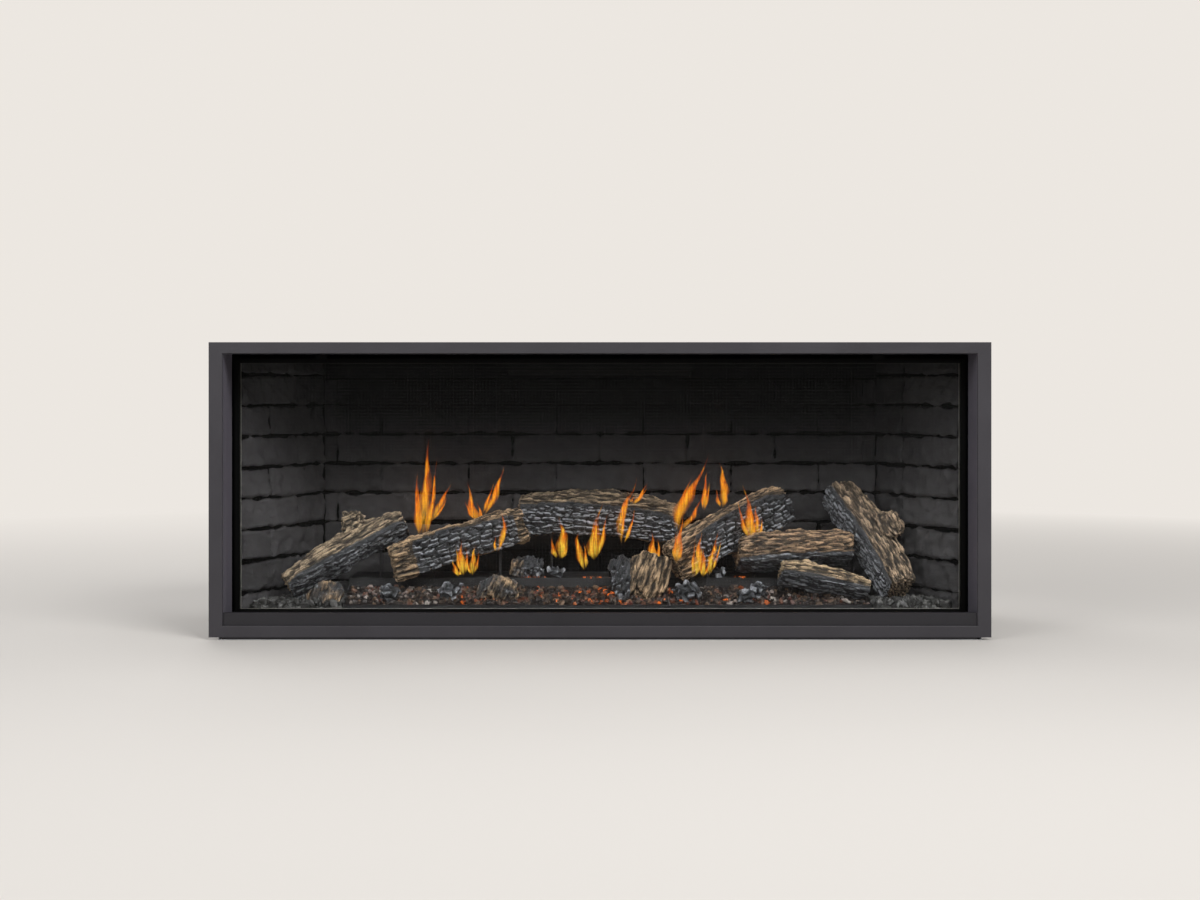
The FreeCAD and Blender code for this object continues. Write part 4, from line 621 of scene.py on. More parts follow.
def brushed(name, colour, roughness, along):
    """Drawn or brushed metal with a fine grain in one direction."""
    material, tree, shader = new_finish(name, metallic=1.0)
    scale = tuple(30.0 if axis == along else 700.0 for axis in "xyz")
    streak = noise(tree, stretched(tree, object_place(tree), scale), 1.0, 4.0, 0.6)
    cloud = mottle(tree, 14.0, 500.0)[0]
    tone = blended(tree, streak, shade(colour, 0.78), shade(colour, 1.12))
    stained = blended(tree, product(tree, cloud, 0.3), tone, shade(colour, 0.6))
    rough = ranged(tree, streak, 0.2, 0.8, roughness - 0.08, roughness + 0.1)
    feed(tree, shader, base_color=stained, roughness=rough, normal=bumped(tree, streak, 0.08, 0.0003))
    return material


def glass_finish():
    """Clear door glass with a coating that hardly reflects. Lamps shine through it."""
    material, tree, shader = new_finish("clear_glass", roughness=0.0, ior=1.04, transmission_weight=1.0)
    shader.inputs["Base Color"].default_value = (0.97, 0.98, 0.98, 1.0)
    path = place(tree, "ShaderNodeLightPath")
    clear = place(tree, "ShaderNodeBsdfTransparent")
    surface_mix(tree, path.outputs["Is Shadow Ray"], shader.outputs["BSDF"], clear.outputs["BSDF"])
    return material


def brick_finish():
    """Cast charcoal brick: each brick has its own tone, with painted shade in the hollows, the joints and
    near the panel ends, and sooting with painted shade above the fire and behind the logs.
    """
    material, tree, shader = new_finish("brick_grey", specular_ior_level=0.03)
    colour = colours().brick
    cloud, grain = mottle(tree, 16.0, 260.0)
    tone = attribute(tree, "tone")
    relief = attribute(tree, "relief")
    face = blended(tree, tone, shade(colour, 0.72), shade(colour, 1.22))
    patched = blended(tree, product(tree, cloud, 0.45), face, shade(colour, 0.6))
    crest = blended(tree, ranged(tree, relief, 0.55, 0.95, 0.0, 0.4), patched, shade(colour, 1.7))
    # Painted shade: low relief, in the hollows, the joints and near the panel ends, turns nearly black.
    sunk_shade = blended(tree, ranged(tree, relief, 0.0, 0.36, 1.0, 0.0), crest, shade(colour, 0.05))
    axes = object_axes(tree)
    aside = sums(tree, "ABSOLUTE", axes["X"])
    upper = ranged(tree, axes["Z"], *SOOT_AND_SHADE_ABOVE, 0.0, 0.97)
    above = product(tree, upper, ranged(tree, aside, *LESS_SHADED_SIDES, 1.0, 0.3))
    lower = ranged(tree, axes["Z"], *SOOT_AND_SHADE_BELOW, 0.92, 0.0)
    below = product(tree, lower, ranged(tree, aside, *BEHIND_LOGS, 1.0, 0.0))
    # Sooting and painted shade: darker above the fire, less so at the sides, and in a patch behind the logs.
    soot_and_shade = blended(tree, sums(tree, "MAXIMUM", above, below), sunk_shade, shade(colour, 0.03))
    rough = ranged(tree, cloud, 0.0, 1.0, 0.78, 0.95)
    rise = sums(tree, "ADD", grain, product(tree, cloud, 1.5))
    feed(tree, shader, base_color=soot_and_shade, roughness=rough, normal=bumped(tree, rise, 0.5, 0.003))
    return material


def wood_finish(name, along, warmth):
    """Ceramic log: furrowed bark above; where it burnt, cracked char with ash and a painted highlight on the
    edges that face up, and painted shade in its cracks.
    """
    material, tree, shader = new_finish(name, specular_ior_level=0.5)
    palette = colours()
    turn = along.to_track_quat("Z", "Y").inverted().to_euler()
    mapping = {"Vector": object_place(tree), "Rotation": turn}
    aligned = place(tree, "ShaderNodeMapping", mapping).outputs["Vector"]
    fibre = noise(tree, stretched(tree, aligned, (240.0, 240.0, 22.0)), 1.0, 5.0, 0.65, 0.6)
    broad = noise(tree, aligned, 22.0, 4.0, 0.6)
    speckle = noise(tree, aligned, 420.0, 3.0, 0.7)

    warm = tuple(channel * factor for channel, factor in zip(palette.bark, warmth))
    coarse = ranged(tree, attribute(tree, "relief"), 0.15, 0.85, 0.0, 0.44)
    strands = ranged(tree, fibre, 0.32, 0.68, 0.0, 0.4)
    dusty = ranged(tree, speckle, 0.3, 0.7, 0.0, 0.16)
    height = sums(tree, "ADD", sums(tree, "ADD", coarse, strands), dusty)
    crests = ramp(
        tree, height, (0.3, opaque(palette.furrow)), (0.48, shade(warm, 0.2)),
        (0.64, shade(warm, 0.8)), (0.84, shade(warm, 1.7)),
    )
    hollow = ranged(tree, broad, 0.42, 0.68, 0.0, 0.5)
    bark = blended(tree, hollow, crests, shade(palette.furrow, 2.2))

    # Ash with a painted highlight: pale on the edges that the sculpting turned up towards the front.
    ash_highlight_share = ranged(tree, attribute(tree, "ash_and_highlight"), 0.14, 0.6)
    ash_highlight_mix = product(tree, ash_highlight_share, ranged(tree, fibre, 0.36, 0.6, 0.2, 1.0))
    streaks = ranged(tree, fibre, 0.34, 0.68)
    coal = blended(tree, streaks, shade(palette.char, 0.5), shade(palette.char, 1.9))
    pale_edged = blended(tree, ash_highlight_mix, coal, opaque(palette.ash))
    # Painted shade: the cracks of the char turn near black.
    crack_shade = ranged(tree, attribute(tree, "crack"), 0.1, 0.46, 1.0, 0.0)
    burnt = blended(tree, crack_shade, pale_edged, (0.002, 0.002, 0.0024, 1.0))

    wander = product(tree, sums(tree, "SUBTRACT", broad, 0.5), 0.9)
    mask = ranged(tree, sums(tree, "ADD", attribute(tree, "char"), wander), 0.4, 0.58)
    colour = blended(tree, mask, bark, burnt)
    rough = ranged(tree, mask, 0.0, 1.0, 0.92, 0.42)
    rise = sums(tree, "ADD", fibre, product(tree, speckle, 0.5))
    feed(tree, shader, base_color=colour, roughness=rough, normal=bumped(tree, rise, 0.9, 0.003))
    return material


def charcoal_finish():
    """Loose charcoal: black with ash-grey edges, painted shade in its creases and a slight sheen."""
    material, tree, shader = new_finish("charcoal", specular_ior_level=0.45)
    palette = colours()
    cloud, grain = mottle(tree, 60.0, 520.0)
    relief = attribute(tree, "relief")
    edge = product(tree, ranged(tree, relief, 0.45, 0.8), ranged(tree, grain, 0.35, 0.6))
    coal = blended(tree, cloud, shade(palette.char, 0.8), shade(palette.char, 2.6))
    pale_edged = blended(tree, edge, coal, shade(palette.ash, 1.1))
    # Painted shade: the creases between the blocks turn near black.
    crease_shade = blended(tree, ranged(tree, relief, 0.1, 0.4, 1.0, 0.0), pale_edged, shade(palette.char, 0.15))
    rough = ranged(tree, cloud, 0.0, 1.0, 0.4, 0.7)
    feed(tree, shader, base_color=crease_shade, roughness=rough, normal=bumped(tree, grain, 0.6, 0.002))
    return material


def ember_finish():
    """Ember chips: brown, dark red and black, with some that glow."""
    material, tree, shader = new_finish("ember", specular_ior_level=0.6, emission_strength=1.5)
    glowing = colours().glow
    cloud, grain = mottle(tree, 90.0, 600.0)
    chips = ramp(
        tree, attribute(tree, "tone"),
        (0.0, (0.006, 0.005, 0.005, 1.0)), (0.45, (0.022, 0.015, 0.012, 1.0)),
        (0.68, (0.075, 0.045, 0.028, 1.0)), (0.8, (0.2, 0.12, 0.07, 1.0)),
        (0.88, (0.11, 0.018, 0.01, 1.0)), (1.0, (0.5, 0.47, 0.43, 1.0)),
    )
    colour = blended(tree, product(tree, cloud, 0.5), chips, (0.02, 0.012, 0.01, 1.0))
    heat = sums(tree, "MULTIPLY", attribute(tree, "glow"), ranged(tree, grain, 0.34, 0.62), True)
    light = ramp(tree, heat, (0.0, grey(0.0)), (0.35, shade(glowing, 0.16)), (0.8, opaque(glowing)))
    rough = ranged(tree, cloud, 0.0, 1.0, 0.3, 0.75)
    feed(tree, shader, base_color=colour, roughness=rough, emission_color=light,
         normal=bumped(tree, grain, 0.4, 0.0015))
    return material


def gravel_finish():
    """Grey crushed stone, each piece with its own tone."""
    material, tree, shader = new_finish("gravel", specular_ior_level=0.3)
    colour = colours().gravel
    cloud, grain = mottle(tree, 70.0, 700.0)
    stone = blended(tree, attribute(tree, "tone"), shade(colour, 0.15), shade(colour, 2.0))
    veined = blended(tree, product(tree, cloud, 0.55), stone, shade(colour, 0.4))
    speck = blended(tree, ranged(tree, grain, 0.56, 0.72, 0.0, 0.6), veined, shade(colour, 2.6))
    rough = ranged(tree, cloud, 0.0, 1.0, 0.75, 0.95)
    feed(tree, shader, base_color=speck, roughness=rough, normal=bumped(tree, grain, 0.5, 0.002))
    return material


def flame_finish(name, yellow):
    """A flame: yellow inside and below, orange at the edges, dark orange and thin at the tip."""
    material, tree, shader = new_finish(name, roughness=1.0, specular_ior_level=0.0, emission_strength=1.1)
    shader.inputs["Base Color"].default_value = grey(0.0)
    rise = attribute(tree, "rise")
    across = attribute(tree, "across")
    streaks = stretched(tree, object_place(tree), (150.0, 60.0, 22.0))
    lick = noise(tree, streaks, 1.0, 3.0, 0.55, 1.2)
    body = opaque(colours().flame)
    hot = (1.0, 0.38 + 0.28 * yellow, 0.02 + 0.04 * yellow, 1.0)
    cool = (0.62, 0.06 + 0.08 * yellow, 0.002, 1.0)
    along = ramp(tree, rise, (0.0, hot), (0.25, hot), (0.52, body), (0.88, cool))
    outer = blended(tree, ranged(tree, across, 0.2, 0.85), along, blended(tree, rise, body, cool))
    colour = blended(tree, ranged(tree, lick, 0.52, 0.66), outer, hot)
    fade_low = ranged(tree, rise, 0.04, 0.36)
    fade_high = ranged(tree, rise, 0.6, 1.0, 1.0, 0.3)
    thin = ranged(tree, across, 0.2, 1.0, 1.0, 0.06)
    wisp = ranged(tree, lick, 0.36, 0.6, 0.12, 1.0)
    alpha = product(tree, product(tree, fade_low, fade_high), product(tree, thin, wisp))
    feed(tree, shader, emission_color=colour, alpha=product(tree, alpha, 0.9))
    return material


def rope_finish():
    """Woven glass-fibre rope, black with graphite."""
    material, tree, shader = new_finish("gasket_rope", roughness=0.92, specular_ior_level=0.2)
    cloud, grain = mottle(tree, 40.0, 900.0)
    inputs = {"Vector": object_place(tree), "Scale": 190.0, "Distortion": 1.5}
    weave = place(tree, "ShaderNodeTexWave", inputs, bands_direction="DIAGONAL").outputs["Fac"]
    yarn = blended(tree, weave, grey(0.008), grey(0.03))
    dirty = blended(tree, product(tree, cloud, 0.4), yarn, grey(0.01))
    height = sums(tree, "ADD", weave, product(tree, grain, 0.3))
    feed(tree, shader, base_color=dirty, normal=bumped(tree, height, 0.6, 0.001))
    return material


def floor_finish():
    """Plain pale floor that runs into the background far from the object."""
    fade = (1.3, 4.2)
    material, tree, shader = new_finish("floor", roughness=0.85, specular_ior_level=0.1)
    backdrop = colours().backdrop
    shader.inputs["Base Color"].default_value = shade(backdrop, 0.78)
    away = place(tree, "ShaderNodeVectorMath", {0: object_place(tree)}, operation="LENGTH").outputs["Value"]
    path = place(tree, "ShaderNodeLightPath")
    far = product(tree, ranged(tree, away, *fade), path.outputs["Is Camera Ray"])
    haze = place(tree, "ShaderNodeEmission", {"Color": opaque(backdrop), "Strength": 1.0})
    surface_mix(tree, far, shader.outputs["BSDF"], haze.outputs["Emission"])
    return material


class FIREPLACE_OT_stage(bpy.types.Operator):
    """Sets the floor, the soft light and the camera"""

    bl_idname = "fireplace.stage"
    bl_label = "Stage"

    def execute(self, context):
        scene = context.scene
        scene.view_settings.view_transform = "Standard"
        deselect()
        bpy.ops.mesh.primitive_plane_add(size=60.0)
        floor = added("floor")
        edit(floor)
        bpy.ops.mesh.subdivide(number_cuts=8)
        deselect()
        floor.data.materials.append(floor_finish())

        world = bpy.data.worlds.new("studio")
        world.use_nodes = True
        scene.world = world
        tree = world.node_tree
        light = tree.nodes["Background"]
        light.inputs["Color"].default_value = (0.86, 0.88, 0.92, 1.0)
        light.inputs["Strength"].default_value = 0.26
        shown = place(tree, "ShaderNodeBackground", {"Color": opaque(colours().backdrop), "Strength": 1.0})
        path = place(tree, "ShaderNodeLightPath").outputs
        seen = sums(tree, "ADD", path["Is Camera Ray"], path["Is Glossy Ray"])
        through = sums(tree, "ADD", seen, path["Is Transmission Ray"], True)
        surface_mix(tree, through, light.outputs["Background"], shown.outputs["Background"], "World Output")

        aim = Vector((0.0, 0.0, 0.25))
        for name, place_at, size, power in (
            ("key_lamp", (1.3, -2.7, 3.0), 1.8, 92.0),
            ("fill_lamp", (-2.0, -2.9, 2.5), 2.0, 42.0),
            ("top_lamp", (0.0, 0.7, 3.6), 2.8, 45.0),
            ("back_lamp", (-2.0, 3.6, 2.2), 2.4, 45.0),
        ):
            deselect()
            bpy.ops.object.light_add(type="AREA", location=place_at)
            lamp = added(name)
            lamp.data.size = size
            lamp.data.energy = power
            lamp.rotation_euler = (aim - Vector(place_at)).to_track_quat("-Z", "Y").to_euler()

        camera_away = 3.99
        camera_height = 0.534
        picture_width = 1200.0
        picture_shift = -64.0
        eye = (0.0, TRIM_FACE_Y - camera_away, camera_height)
        deselect()
        bpy.ops.object.camera_add(location=eye, rotation=(math.pi / 2, 0.0, 0.0))
        camera = added("camera")
        camera.data.lens = 57.0
        camera.data.sensor_width = 36.0
        camera.data.shift_y = picture_shift / picture_width
        scene.camera = camera
        return {"FINISHED"}


class FIREPLACE_OT_finishes(bpy.types.Operator):
    """Gives the CAD parts that stay their finishes"""

    bl_idname = "fireplace.finishes"
    bl_label = "Sheet Metal and Fittings"

    def execute(self, context):
        coats = (
            ("firebox_black", grey(0.005), 0.75, {"bump": 0.2, "shine": 0.06}),
            ("screen_black", grey(0.004), 0.62, {"shine": 0.04}),
            ("burner_steel", (0.022, 0.022, 0.023), 0.8, {"spread": 0.3, "scale": 14.0, "shine": 0.2}),
            ("cast_alloy", (0.42, 0.43, 0.44), 0.48, {"metallic": 0.9, "grain_scale": 500.0, "bump": 0.3}),
            ("knob_black", (0.016, 0.016, 0.017), 0.46, {"spread": 0.2, "grain_scale": 1200.0}),
            ("button_red", (0.45, 0.025, 0.02), 0.34, {"spread": 0.1}),
            ("sooty_steel", grey(0.008), 0.8, {"spread": 0.3, "scale": 20.0, "shine": 0.06}),
            # The fascia gets a darker copy of the trim coat: painted shade.
            ("fascia_shaded_charcoal", shade(colours().trim, 0.55), 0.5, {"shine": 0.35}),
        )
        finishes = {name: coated(name, colour, roughness, **more) for name, colour, roughness, more in coats}
        finishes["trim_charcoal"] = trim_finish()
        finishes["casing_zinc"] = zinc_finish()
        finishes["clear_glass"] = glass_finish()
        finishes["stainless"] = brushed("stainless", (0.55, 0.55, 0.56), 0.34, "x")
        finishes["brass"] = brushed("brass", (0.72, 0.48, 0.2), 0.3, "y")
        finishes["gasket_rope"] = rope_finish()
        for node in frame["nodes"].values():
            for holder in node.material_slots:
                finish = finishes.get(holder.material.name.split(".")[0])
                if finish:
                    holder.material = finish
        sooty = ("flue_box", "flue_restrictor", "relief_flap", "baffle_plate", "pilot_burner", "pilot_probes")
        for node in sooty:
            frame["nodes"][node].material_slots[0].material = finishes["sooty_steel"]
        frame["nodes"]["lower_fascia"].material_slots[0].material = finishes["fascia_shaded_charcoal"]
        return {"FINISHED"}


def divide_edges(piece, axis, cuts):
    """Cuts a piece into even slices across one axis."""
    edit(piece, "DESELECT")
    bpy.ops.mesh.select_mode(type="EDGE")
    bpy.ops.object.mode_set(mode="OBJECT")
    points = piece.data.vertices
    for edge in piece.data.edges:
        way = points[edge.vertices[1]].co - points[edge.vertices[0]].co
        edge.select = abs(way[axis]) > 0.9 * way.length
    bpy.ops.object.mode_set(mode="EDIT")
    bpy.ops.mesh.subdivide(number_cuts=cuts)
    deselect()


def unit_cube(name):
    """A cube with sides of 1."""
    deselect()
    bpy.ops.mesh.primitive_cube_add(size=1.0)
    return added(name)


def brick_model(name, long_cuts, high_cuts):
    """A brick of size 1, cut into small faces along its length and height."""
    model = unit_cube(name)
    divide_edges(model, 0, long_cuts)
    divide_edges(model, 2, high_cuts)
    return model


def brick_places(length, height, offsets):
    """The start, end, bottom and top of each brick in a panel.

    offsets holds, for odd and for even courses, where the first upright joint lies.
    """
    size = sizes()
    bottom = 0.0
    top = size.first_joint - PANEL_FOOT
    course = 0
    while bottom < height - SHORTEST_BRICK:
        top = min(top, height)
        ends = [0.0]
        joint = offsets[course % 2]
        while joint < length - SHORTEST_BRICK:
            if joint - ends[-1] > SHORTEST_BRICK:
                ends.append(joint)
            joint += size.brick_length
        ends.append(length)
        for start, end in zip(ends, ends[1:]):
            yield start, end, bottom, top
        bottom = top
        top += size.brick_course
        course += 1


def laid_bricks(name, length, height, offsets):
    """Plain bricks of a panel, each a little proud, leaning and of its own tone."""
    size = sizes()
    dice = random.Random(name)
    models = {}
    bricks = []
    for start, end, bottom, top in brick_places(length, height, offsets):
        width = end - start - size.joint_width
        rise = top - bottom - size.bed_width
        proud = BRICK_PROUD[0] + BRICK_PROUD[1] * dice.random()
        deep = SLAB_FRONT + 2 * BRICK_BITE + proud
        middle = Vector(((start + end) / 2, SLAB_FRONT + BRICK_BITE - deep / 2, (bottom + top) / 2))
        lean = Quaternion((1.0, 0.0, 0.0), dice.uniform(*BRICK_LEAN))
        turn = Quaternion((0.0, 1.0, 0.0), dice.uniform(*BRICK_TURN)) @ lean
        cuts = (max(int(width / BRICK_FACE[0]), 2), max(int(rise / BRICK_FACE[1]), 2))
        if cuts not in models:
            models[cuts] = brick_model(f"{name}_brick", *cuts)
        brick = copied(models[cuts], Matrix.LocRotScale(middle, turn, Vector((width, deep, rise))))
        mark(brick, tone=dice.random())
        bricks.append(brick)
    discard(*models.values())
    return joined(bricks, name)


def backing_slab(name, length, height):
    """The slab behind the bricks of a panel."""
    thick = SLAB_BACK - SLAB_FRONT
    slab = unit_cube(name)
    middle = Vector((length / 2, SLAB_FRONT + thick / 2, height / 2))
    slab.data.transform(Matrix.LocRotScale(middle, None, Vector((length, thick, height))))
    edit(slab)
    bpy.ops.mesh.bevel(offset=0.001, segments=1)
    deselect()
    mark(slab, tone=0.0, relief=0.0)
    return slab


def brick_panel(name, length, height, offsets):
    """A panel of rough bricks on a backing slab, from 0 to its length, with its face at Y = 0."""
    size = sizes()
    end_gap = 0.0005
    shaded_end = (0.001, 0.006)
    panel = laid_bricks(name, length, height, offsets)
    modify(panel, "BEVEL", width=size.brick_rounding, segments=2, limit_method="ANGLE")
    modify(panel, "SUBSURF", subdivision_type="SIMPLE", levels=1, render_levels=1)
    before = points_of(panel)
    aside = normals_of(panel)
    displace(panel, clouds(f"{name}_edges", 0.03, 4, 1.5), size.brick_relief, 0.52)
    displace(panel, clouds(f"{name}_pits", 0.012, 3, 1.5), 0.003, 0.55)
    for vertex in panel.data.vertices:
        vertex.co.x = min(max(vertex.co.x, end_gap), length - end_gap)
        vertex.co.z = min(max(vertex.co.z, 0.0), height)
        vertex.co.y = min(vertex.co.y, SLAB_BACK)
    relief = []
    for vertex, lift in zip(panel.data.vertices, lifts_of(panel, before, aside)):
        # Painted shade: the relief falls towards 0 deeper into the joints and near the ends of the panel,
        # where the brick finish darkens it.
        unshaded_share = 1.0 - smooth_step(0.001, SLAB_FRONT - 0.001, vertex.co.y)
        unshaded_share *= smooth_step(*shaded_end, min(vertex.co.x, length - vertex.co.x))
        relief.append(unshaded_share * min(max(0.6 + 0.4 * lift / size.brick_relief, 0.3), 1.0))
    write_values(panel, "relief", relief)
    panel = joined([panel, backing_slab(f"{name}_slab", length, height)], name)
    bpy.ops.object.shade_smooth_by_angle(angle=math.radians(35))
    return panel


class FIREPLACE_OT_brick_liner(bpy.types.Operator):
    """Lays the rough brick of the back and the two splayed sides"""

    bl_idname = "fireplace.brick_liner"
    bl_label = "Brick Liner"

    def execute(self, context):
        front_half = 0.784
        side_gap = 0.001
        corner_gap = 0.0009
        finish = brick_finish()
        brick = sizes().brick_length
        back_low, back_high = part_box("brick_panel_back")
        length = back_high.x - back_low.x
        middle = length / 2 - 3 * brick
        back = brick_panel("brick_liner_back", length, back_high.z - back_low.z, (middle + brick / 2, middle))
        back.location = back_low
        settle(back)
        finish_piece(back, "fireplace", "brick_grey", finish, "brick_panel_back")

        back_half = back_high.x
        side_low, side_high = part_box("brick_panel_left")
        run = back_low.y - side_low.y
        splay = math.atan2(run, front_half - back_half)
        side = math.hypot(run, front_half - back_half) - side_gap
        for hand, offsets, corner, turn in (
            ("left", (0.55 * brick, 0.05 * brick), (-front_half, side_low.y), splay),
            ("right", (side - 1.05 * brick, 0.54 * brick), (back_half, back_low.y - corner_gap), -splay),
        ):
            panel = brick_panel(f"brick_liner_{hand}", side, side_high.z - side_low.z, offsets)
            panel.rotation_euler = (0.0, 0.0, turn)
            panel.location = (corner[0], corner[1], side_low.z)
            settle(panel)
            finish_piece(panel, "fireplace", "brick_grey", finish, f"brick_panel_{hand}")
        return {"FINISHED"}


def settle_dust_and_highlight(piece, plain_normals):
    """Stores how much more a place looks up, tilted a little to the front, than it did before it was
    sculpted, where ash and a painted highlight go.
    """
    upward = Vector((0.15, -0.35, 0.92)).normalized()
    lie = []
    for vertex, plain in zip(piece.data.vertices, plain_normals):
        gain = vertex.normal.dot(upward) - plain.dot(upward)
        lie.append(min(max(gain, 0.0), 1.0))
    write_values(piece, "ash_and_highlight", lie)


def finish_sculpting(piece, plain_normals, *axes):
    """Stores where ash and a painted highlight go on sculpted wood, clears its helpers and smooths its
    shading.
    """
    settle_dust_and_highlight(piece, plain_normals)
    discard(*axes)
    piece.vertex_groups.clear()
    take(piece)
    bpy.ops.object.shade_smooth()


class FIREPLACE_OT_logs(bpy.types.Operator):
    """Sculpts the seven logs with furrowed bark and cracked char"""

    bl_idname = "fireplace.logs"
    bl_label = "Logs"

    def execute(self, context):
        size = sizes()
        burn_depth = (-0.016, -0.002)
        warmths = {
            "log_left": (0.96, 0.98, 0.98), "log_left_centre": (1.0, 0.92, 0.82),
            "log_rear": (0.8, 0.8, 0.78), "log_centre_right": (0.9, 0.82, 0.74),
            "log_right_rear": (0.95, 0.84, 0.76), "log_right_leaning": (0.84, 0.82, 0.82),
            "log_right_front": (1.0, 0.98, 0.9),
        }
        for node, (ends, radius, burnt_way, share, unburnt, blocky) in LOGS.items():
            start = spot(*ends[0])
            end = spot(*ends[1])
            along = (end - start).normalized()
            length = (end - start).length
            facing = Vector(burnt_way)
            facing = (facing - along * facing.dot(along)).normalized()
            middle = (start + end) / 2
            face = middle + facing * (radius * MM * share)
            log = copy_of_node(node, f"{node}_sculpted")
            edit(log)
            bpy.ops.mesh.bisect(plane_co=face, plane_no=facing, use_fill=True, clear_outer=True)
            deselect()
            remesh(log, size.log_grain)
            modify(log, "SMOOTH", factor=0.5, iterations=5)
            burns = []
            for vertex in log.data.vertices:
                along_share = (vertex.co - start).dot(along) / length
                burn = smooth_step(*burn_depth, (vertex.co - face).dot(facing))
                if unburnt[0]:
                    burn *= smooth_step(unburnt[0] * 0.6, unburnt[0], along_share)
                if unburnt[1]:
                    burn *= smooth_step(unburnt[1] * 0.3, unburnt[1], 1.0 - along_share)
                burns.append(burn)
            write_values(log, "char", burns)
            burnt = weigh(log, "burnt", burns)
            broken = weigh(log, "broken", [blocky * burn for burn in burns])
            barked = weigh(log, "barked", [1.0 - burn for burn in burns])
            long_axes = grain_axes(middle, along, 6.5 - 1.5 * blocky)
            block_axes = grain_axes(middle, along, 1.9)
            displace(log, clouds(f"{node}_swell", 0.07, 2), 0.016)
            plain_normals = normals_of(log)
            displace(log, clouds(f"{node}_flakes", 0.02, 2), 0.01, group=barked, axes=long_axes)
            bark = clouds(f"{node}_bark", 0.005, 4, 2.0)
            displace(log, bark, size.bark_relief, group=barked, axes=long_axes, kept="relief")
            displace(log, clouds(f"{node}_grain", 0.0065, 3, 1.5), 0.007, group=burnt, axes=long_axes)
            blocks = cracks(f"{node}_cracks", 0.013, 8.0, "CHEBYCHEV")
            displace(log, blocks, size.crack_depth, 0.8, broken, block_axes, "crack")
            finish_sculpting(log, plain_normals, long_axes, block_axes)
            slot = frame["nodes"][node].material_slots[0].material.name.split(".")[0]
            finish_piece(log, "fireplace", slot, wood_finish(node, along, warmths[node]), node)
        return {"FINISHED"}


def chunk_burn(x):
    """How far a split chunk burnt that lies at a place across the fire."""
    for first, last, burn in CHUNK_BURNS:
        if first < x < last:
            return burn
    return 1.0


class FIREPLACE_OT_chunks(bpy.types.Operator):
    """Sculpts the split chunks and the lumps of charcoal"""

    bl_idname = "fireplace.chunks"
    bl_label = "Chunks and Charcoal"

    def execute(self, context):
        chunks = copy_of_node("split_chunks", "split_chunks_sculpted")
        remesh(chunks, 0.0018)
        modify(chunks, "SMOOTH", factor=0.5, iterations=2)
        upward = Vector((0.35, 0.1, 1.0)).normalized()
        burns = [chunk_burn(vertex.co.x) for vertex in chunks.data.vertices]
        write_values(chunks, "char", burns)
        burnt = weigh(chunks, "burnt", burns)
        axes = grain_axes(Vector((0.0, 0.0, 0.1)), upward, 5.0)
        displace(chunks, clouds("chunk_swell", 0.04, 2), 0.012)
        plain_normals = normals_of(chunks)
        displace(chunks, clouds("chunk_grain", 0.008, 3, 2.0), 0.009, axes=axes, kept="relief")
        displace(chunks, cracks("chunk_cracks", 0.012), 0.005, 0.8, burnt, axes, "crack")
        finish_sculpting(chunks, plain_normals, axes)
        finish = wood_finish("split_chunks", upward, (0.9, 0.84, 0.76))
        finish_piece(chunks, "fireplace", "log_char", finish, "split_chunks")

        lumps = copy_of_node("charcoal_lumps", "charcoal_lumps_sculpted")
        remesh(lumps, 0.002)
        displace(lumps, clouds("lump_swell", 0.026, 2), 0.02)
        displace(lumps, cracks("lump_cracks", 0.018, 5.0, "CHEBYCHEV"), 0.007, kept="relief")
        displace(lumps, clouds("lump_grain", 0.008, 3), 0.004)
        modify(lumps, "DECIMATE", ratio=0.05)
        take(lumps)
        bpy.ops.object.shade_flat()
        finish_piece(lumps, "fireplace", "log_char", charcoal_finish(), "charcoal_lumps")
        return {"FINISHED"}


def chip_models(prefix, count, dice):
    """A few broken stones to copy, each about 1 across."""
    models = []
    for index in range(count):
        deselect()
        bpy.ops.mesh.primitive_ico_sphere_add(subdivisions=1, radius=0.5)
        stone = added(f"{prefix}_{index}")
        edit(stone)
        bpy.ops.transform.vertex_random(offset=0.13, uniform=0.6, normal=0.5, seed=index + 3)
        for cut in range(3):
            way = Vector([dice.uniform(-1, 1) for axis in range(3)]).normalized()
            bpy.ops.mesh.select_all(action="SELECT")
            bpy.ops.mesh.bisect(plane_co=way * 0.36, plane_no=way, use_fill=True, clear_outer=True)
        deselect()
        models.append(stone)
    return models


def heap_of(node, name, strength, mid_level, tone):
    """A rough heap made from a CAD bed, for loose pieces to lie on."""
    heap = copy_of_node(node, name)
    remesh(heap, 0.005)
    displace(heap, clouds(name, 0.02, 3), strength, mid_level)
    mark(heap, tone=tone, glow=0.0)
    return heap


def strewn(name, heap, places, models, dice):
    """Copies of the models at places, each given as point, size, tone and glow, joined with their heap."""
    stones = []
    for point, size, tone, glow in places:
        turn = Quaternion([dice.gauss(0, 1) for axis in range(4)]).normalized()
        scale = Vector([size * dice.uniform(*span) for span in ((0.8, 1.3), (0.7, 1.1), (0.5, 0.9))])
        stone = copied(dice.choice(models), Matrix.LocRotScale(point, turn, scale))
        mark(stone, tone=tone, glow=glow)
        stones.append(stone)
    discard(*models)
    return joined([joined(stones, name), heap], name)


def height_on(piece, x, y):
    """Height of the top of a piece at a place, or None beside it."""
    hit, where = piece.ray_cast(Vector((x, y, 1.0)), Vector((0.0, 0.0, -1.0)))[:2]
    return where.z if hit else None


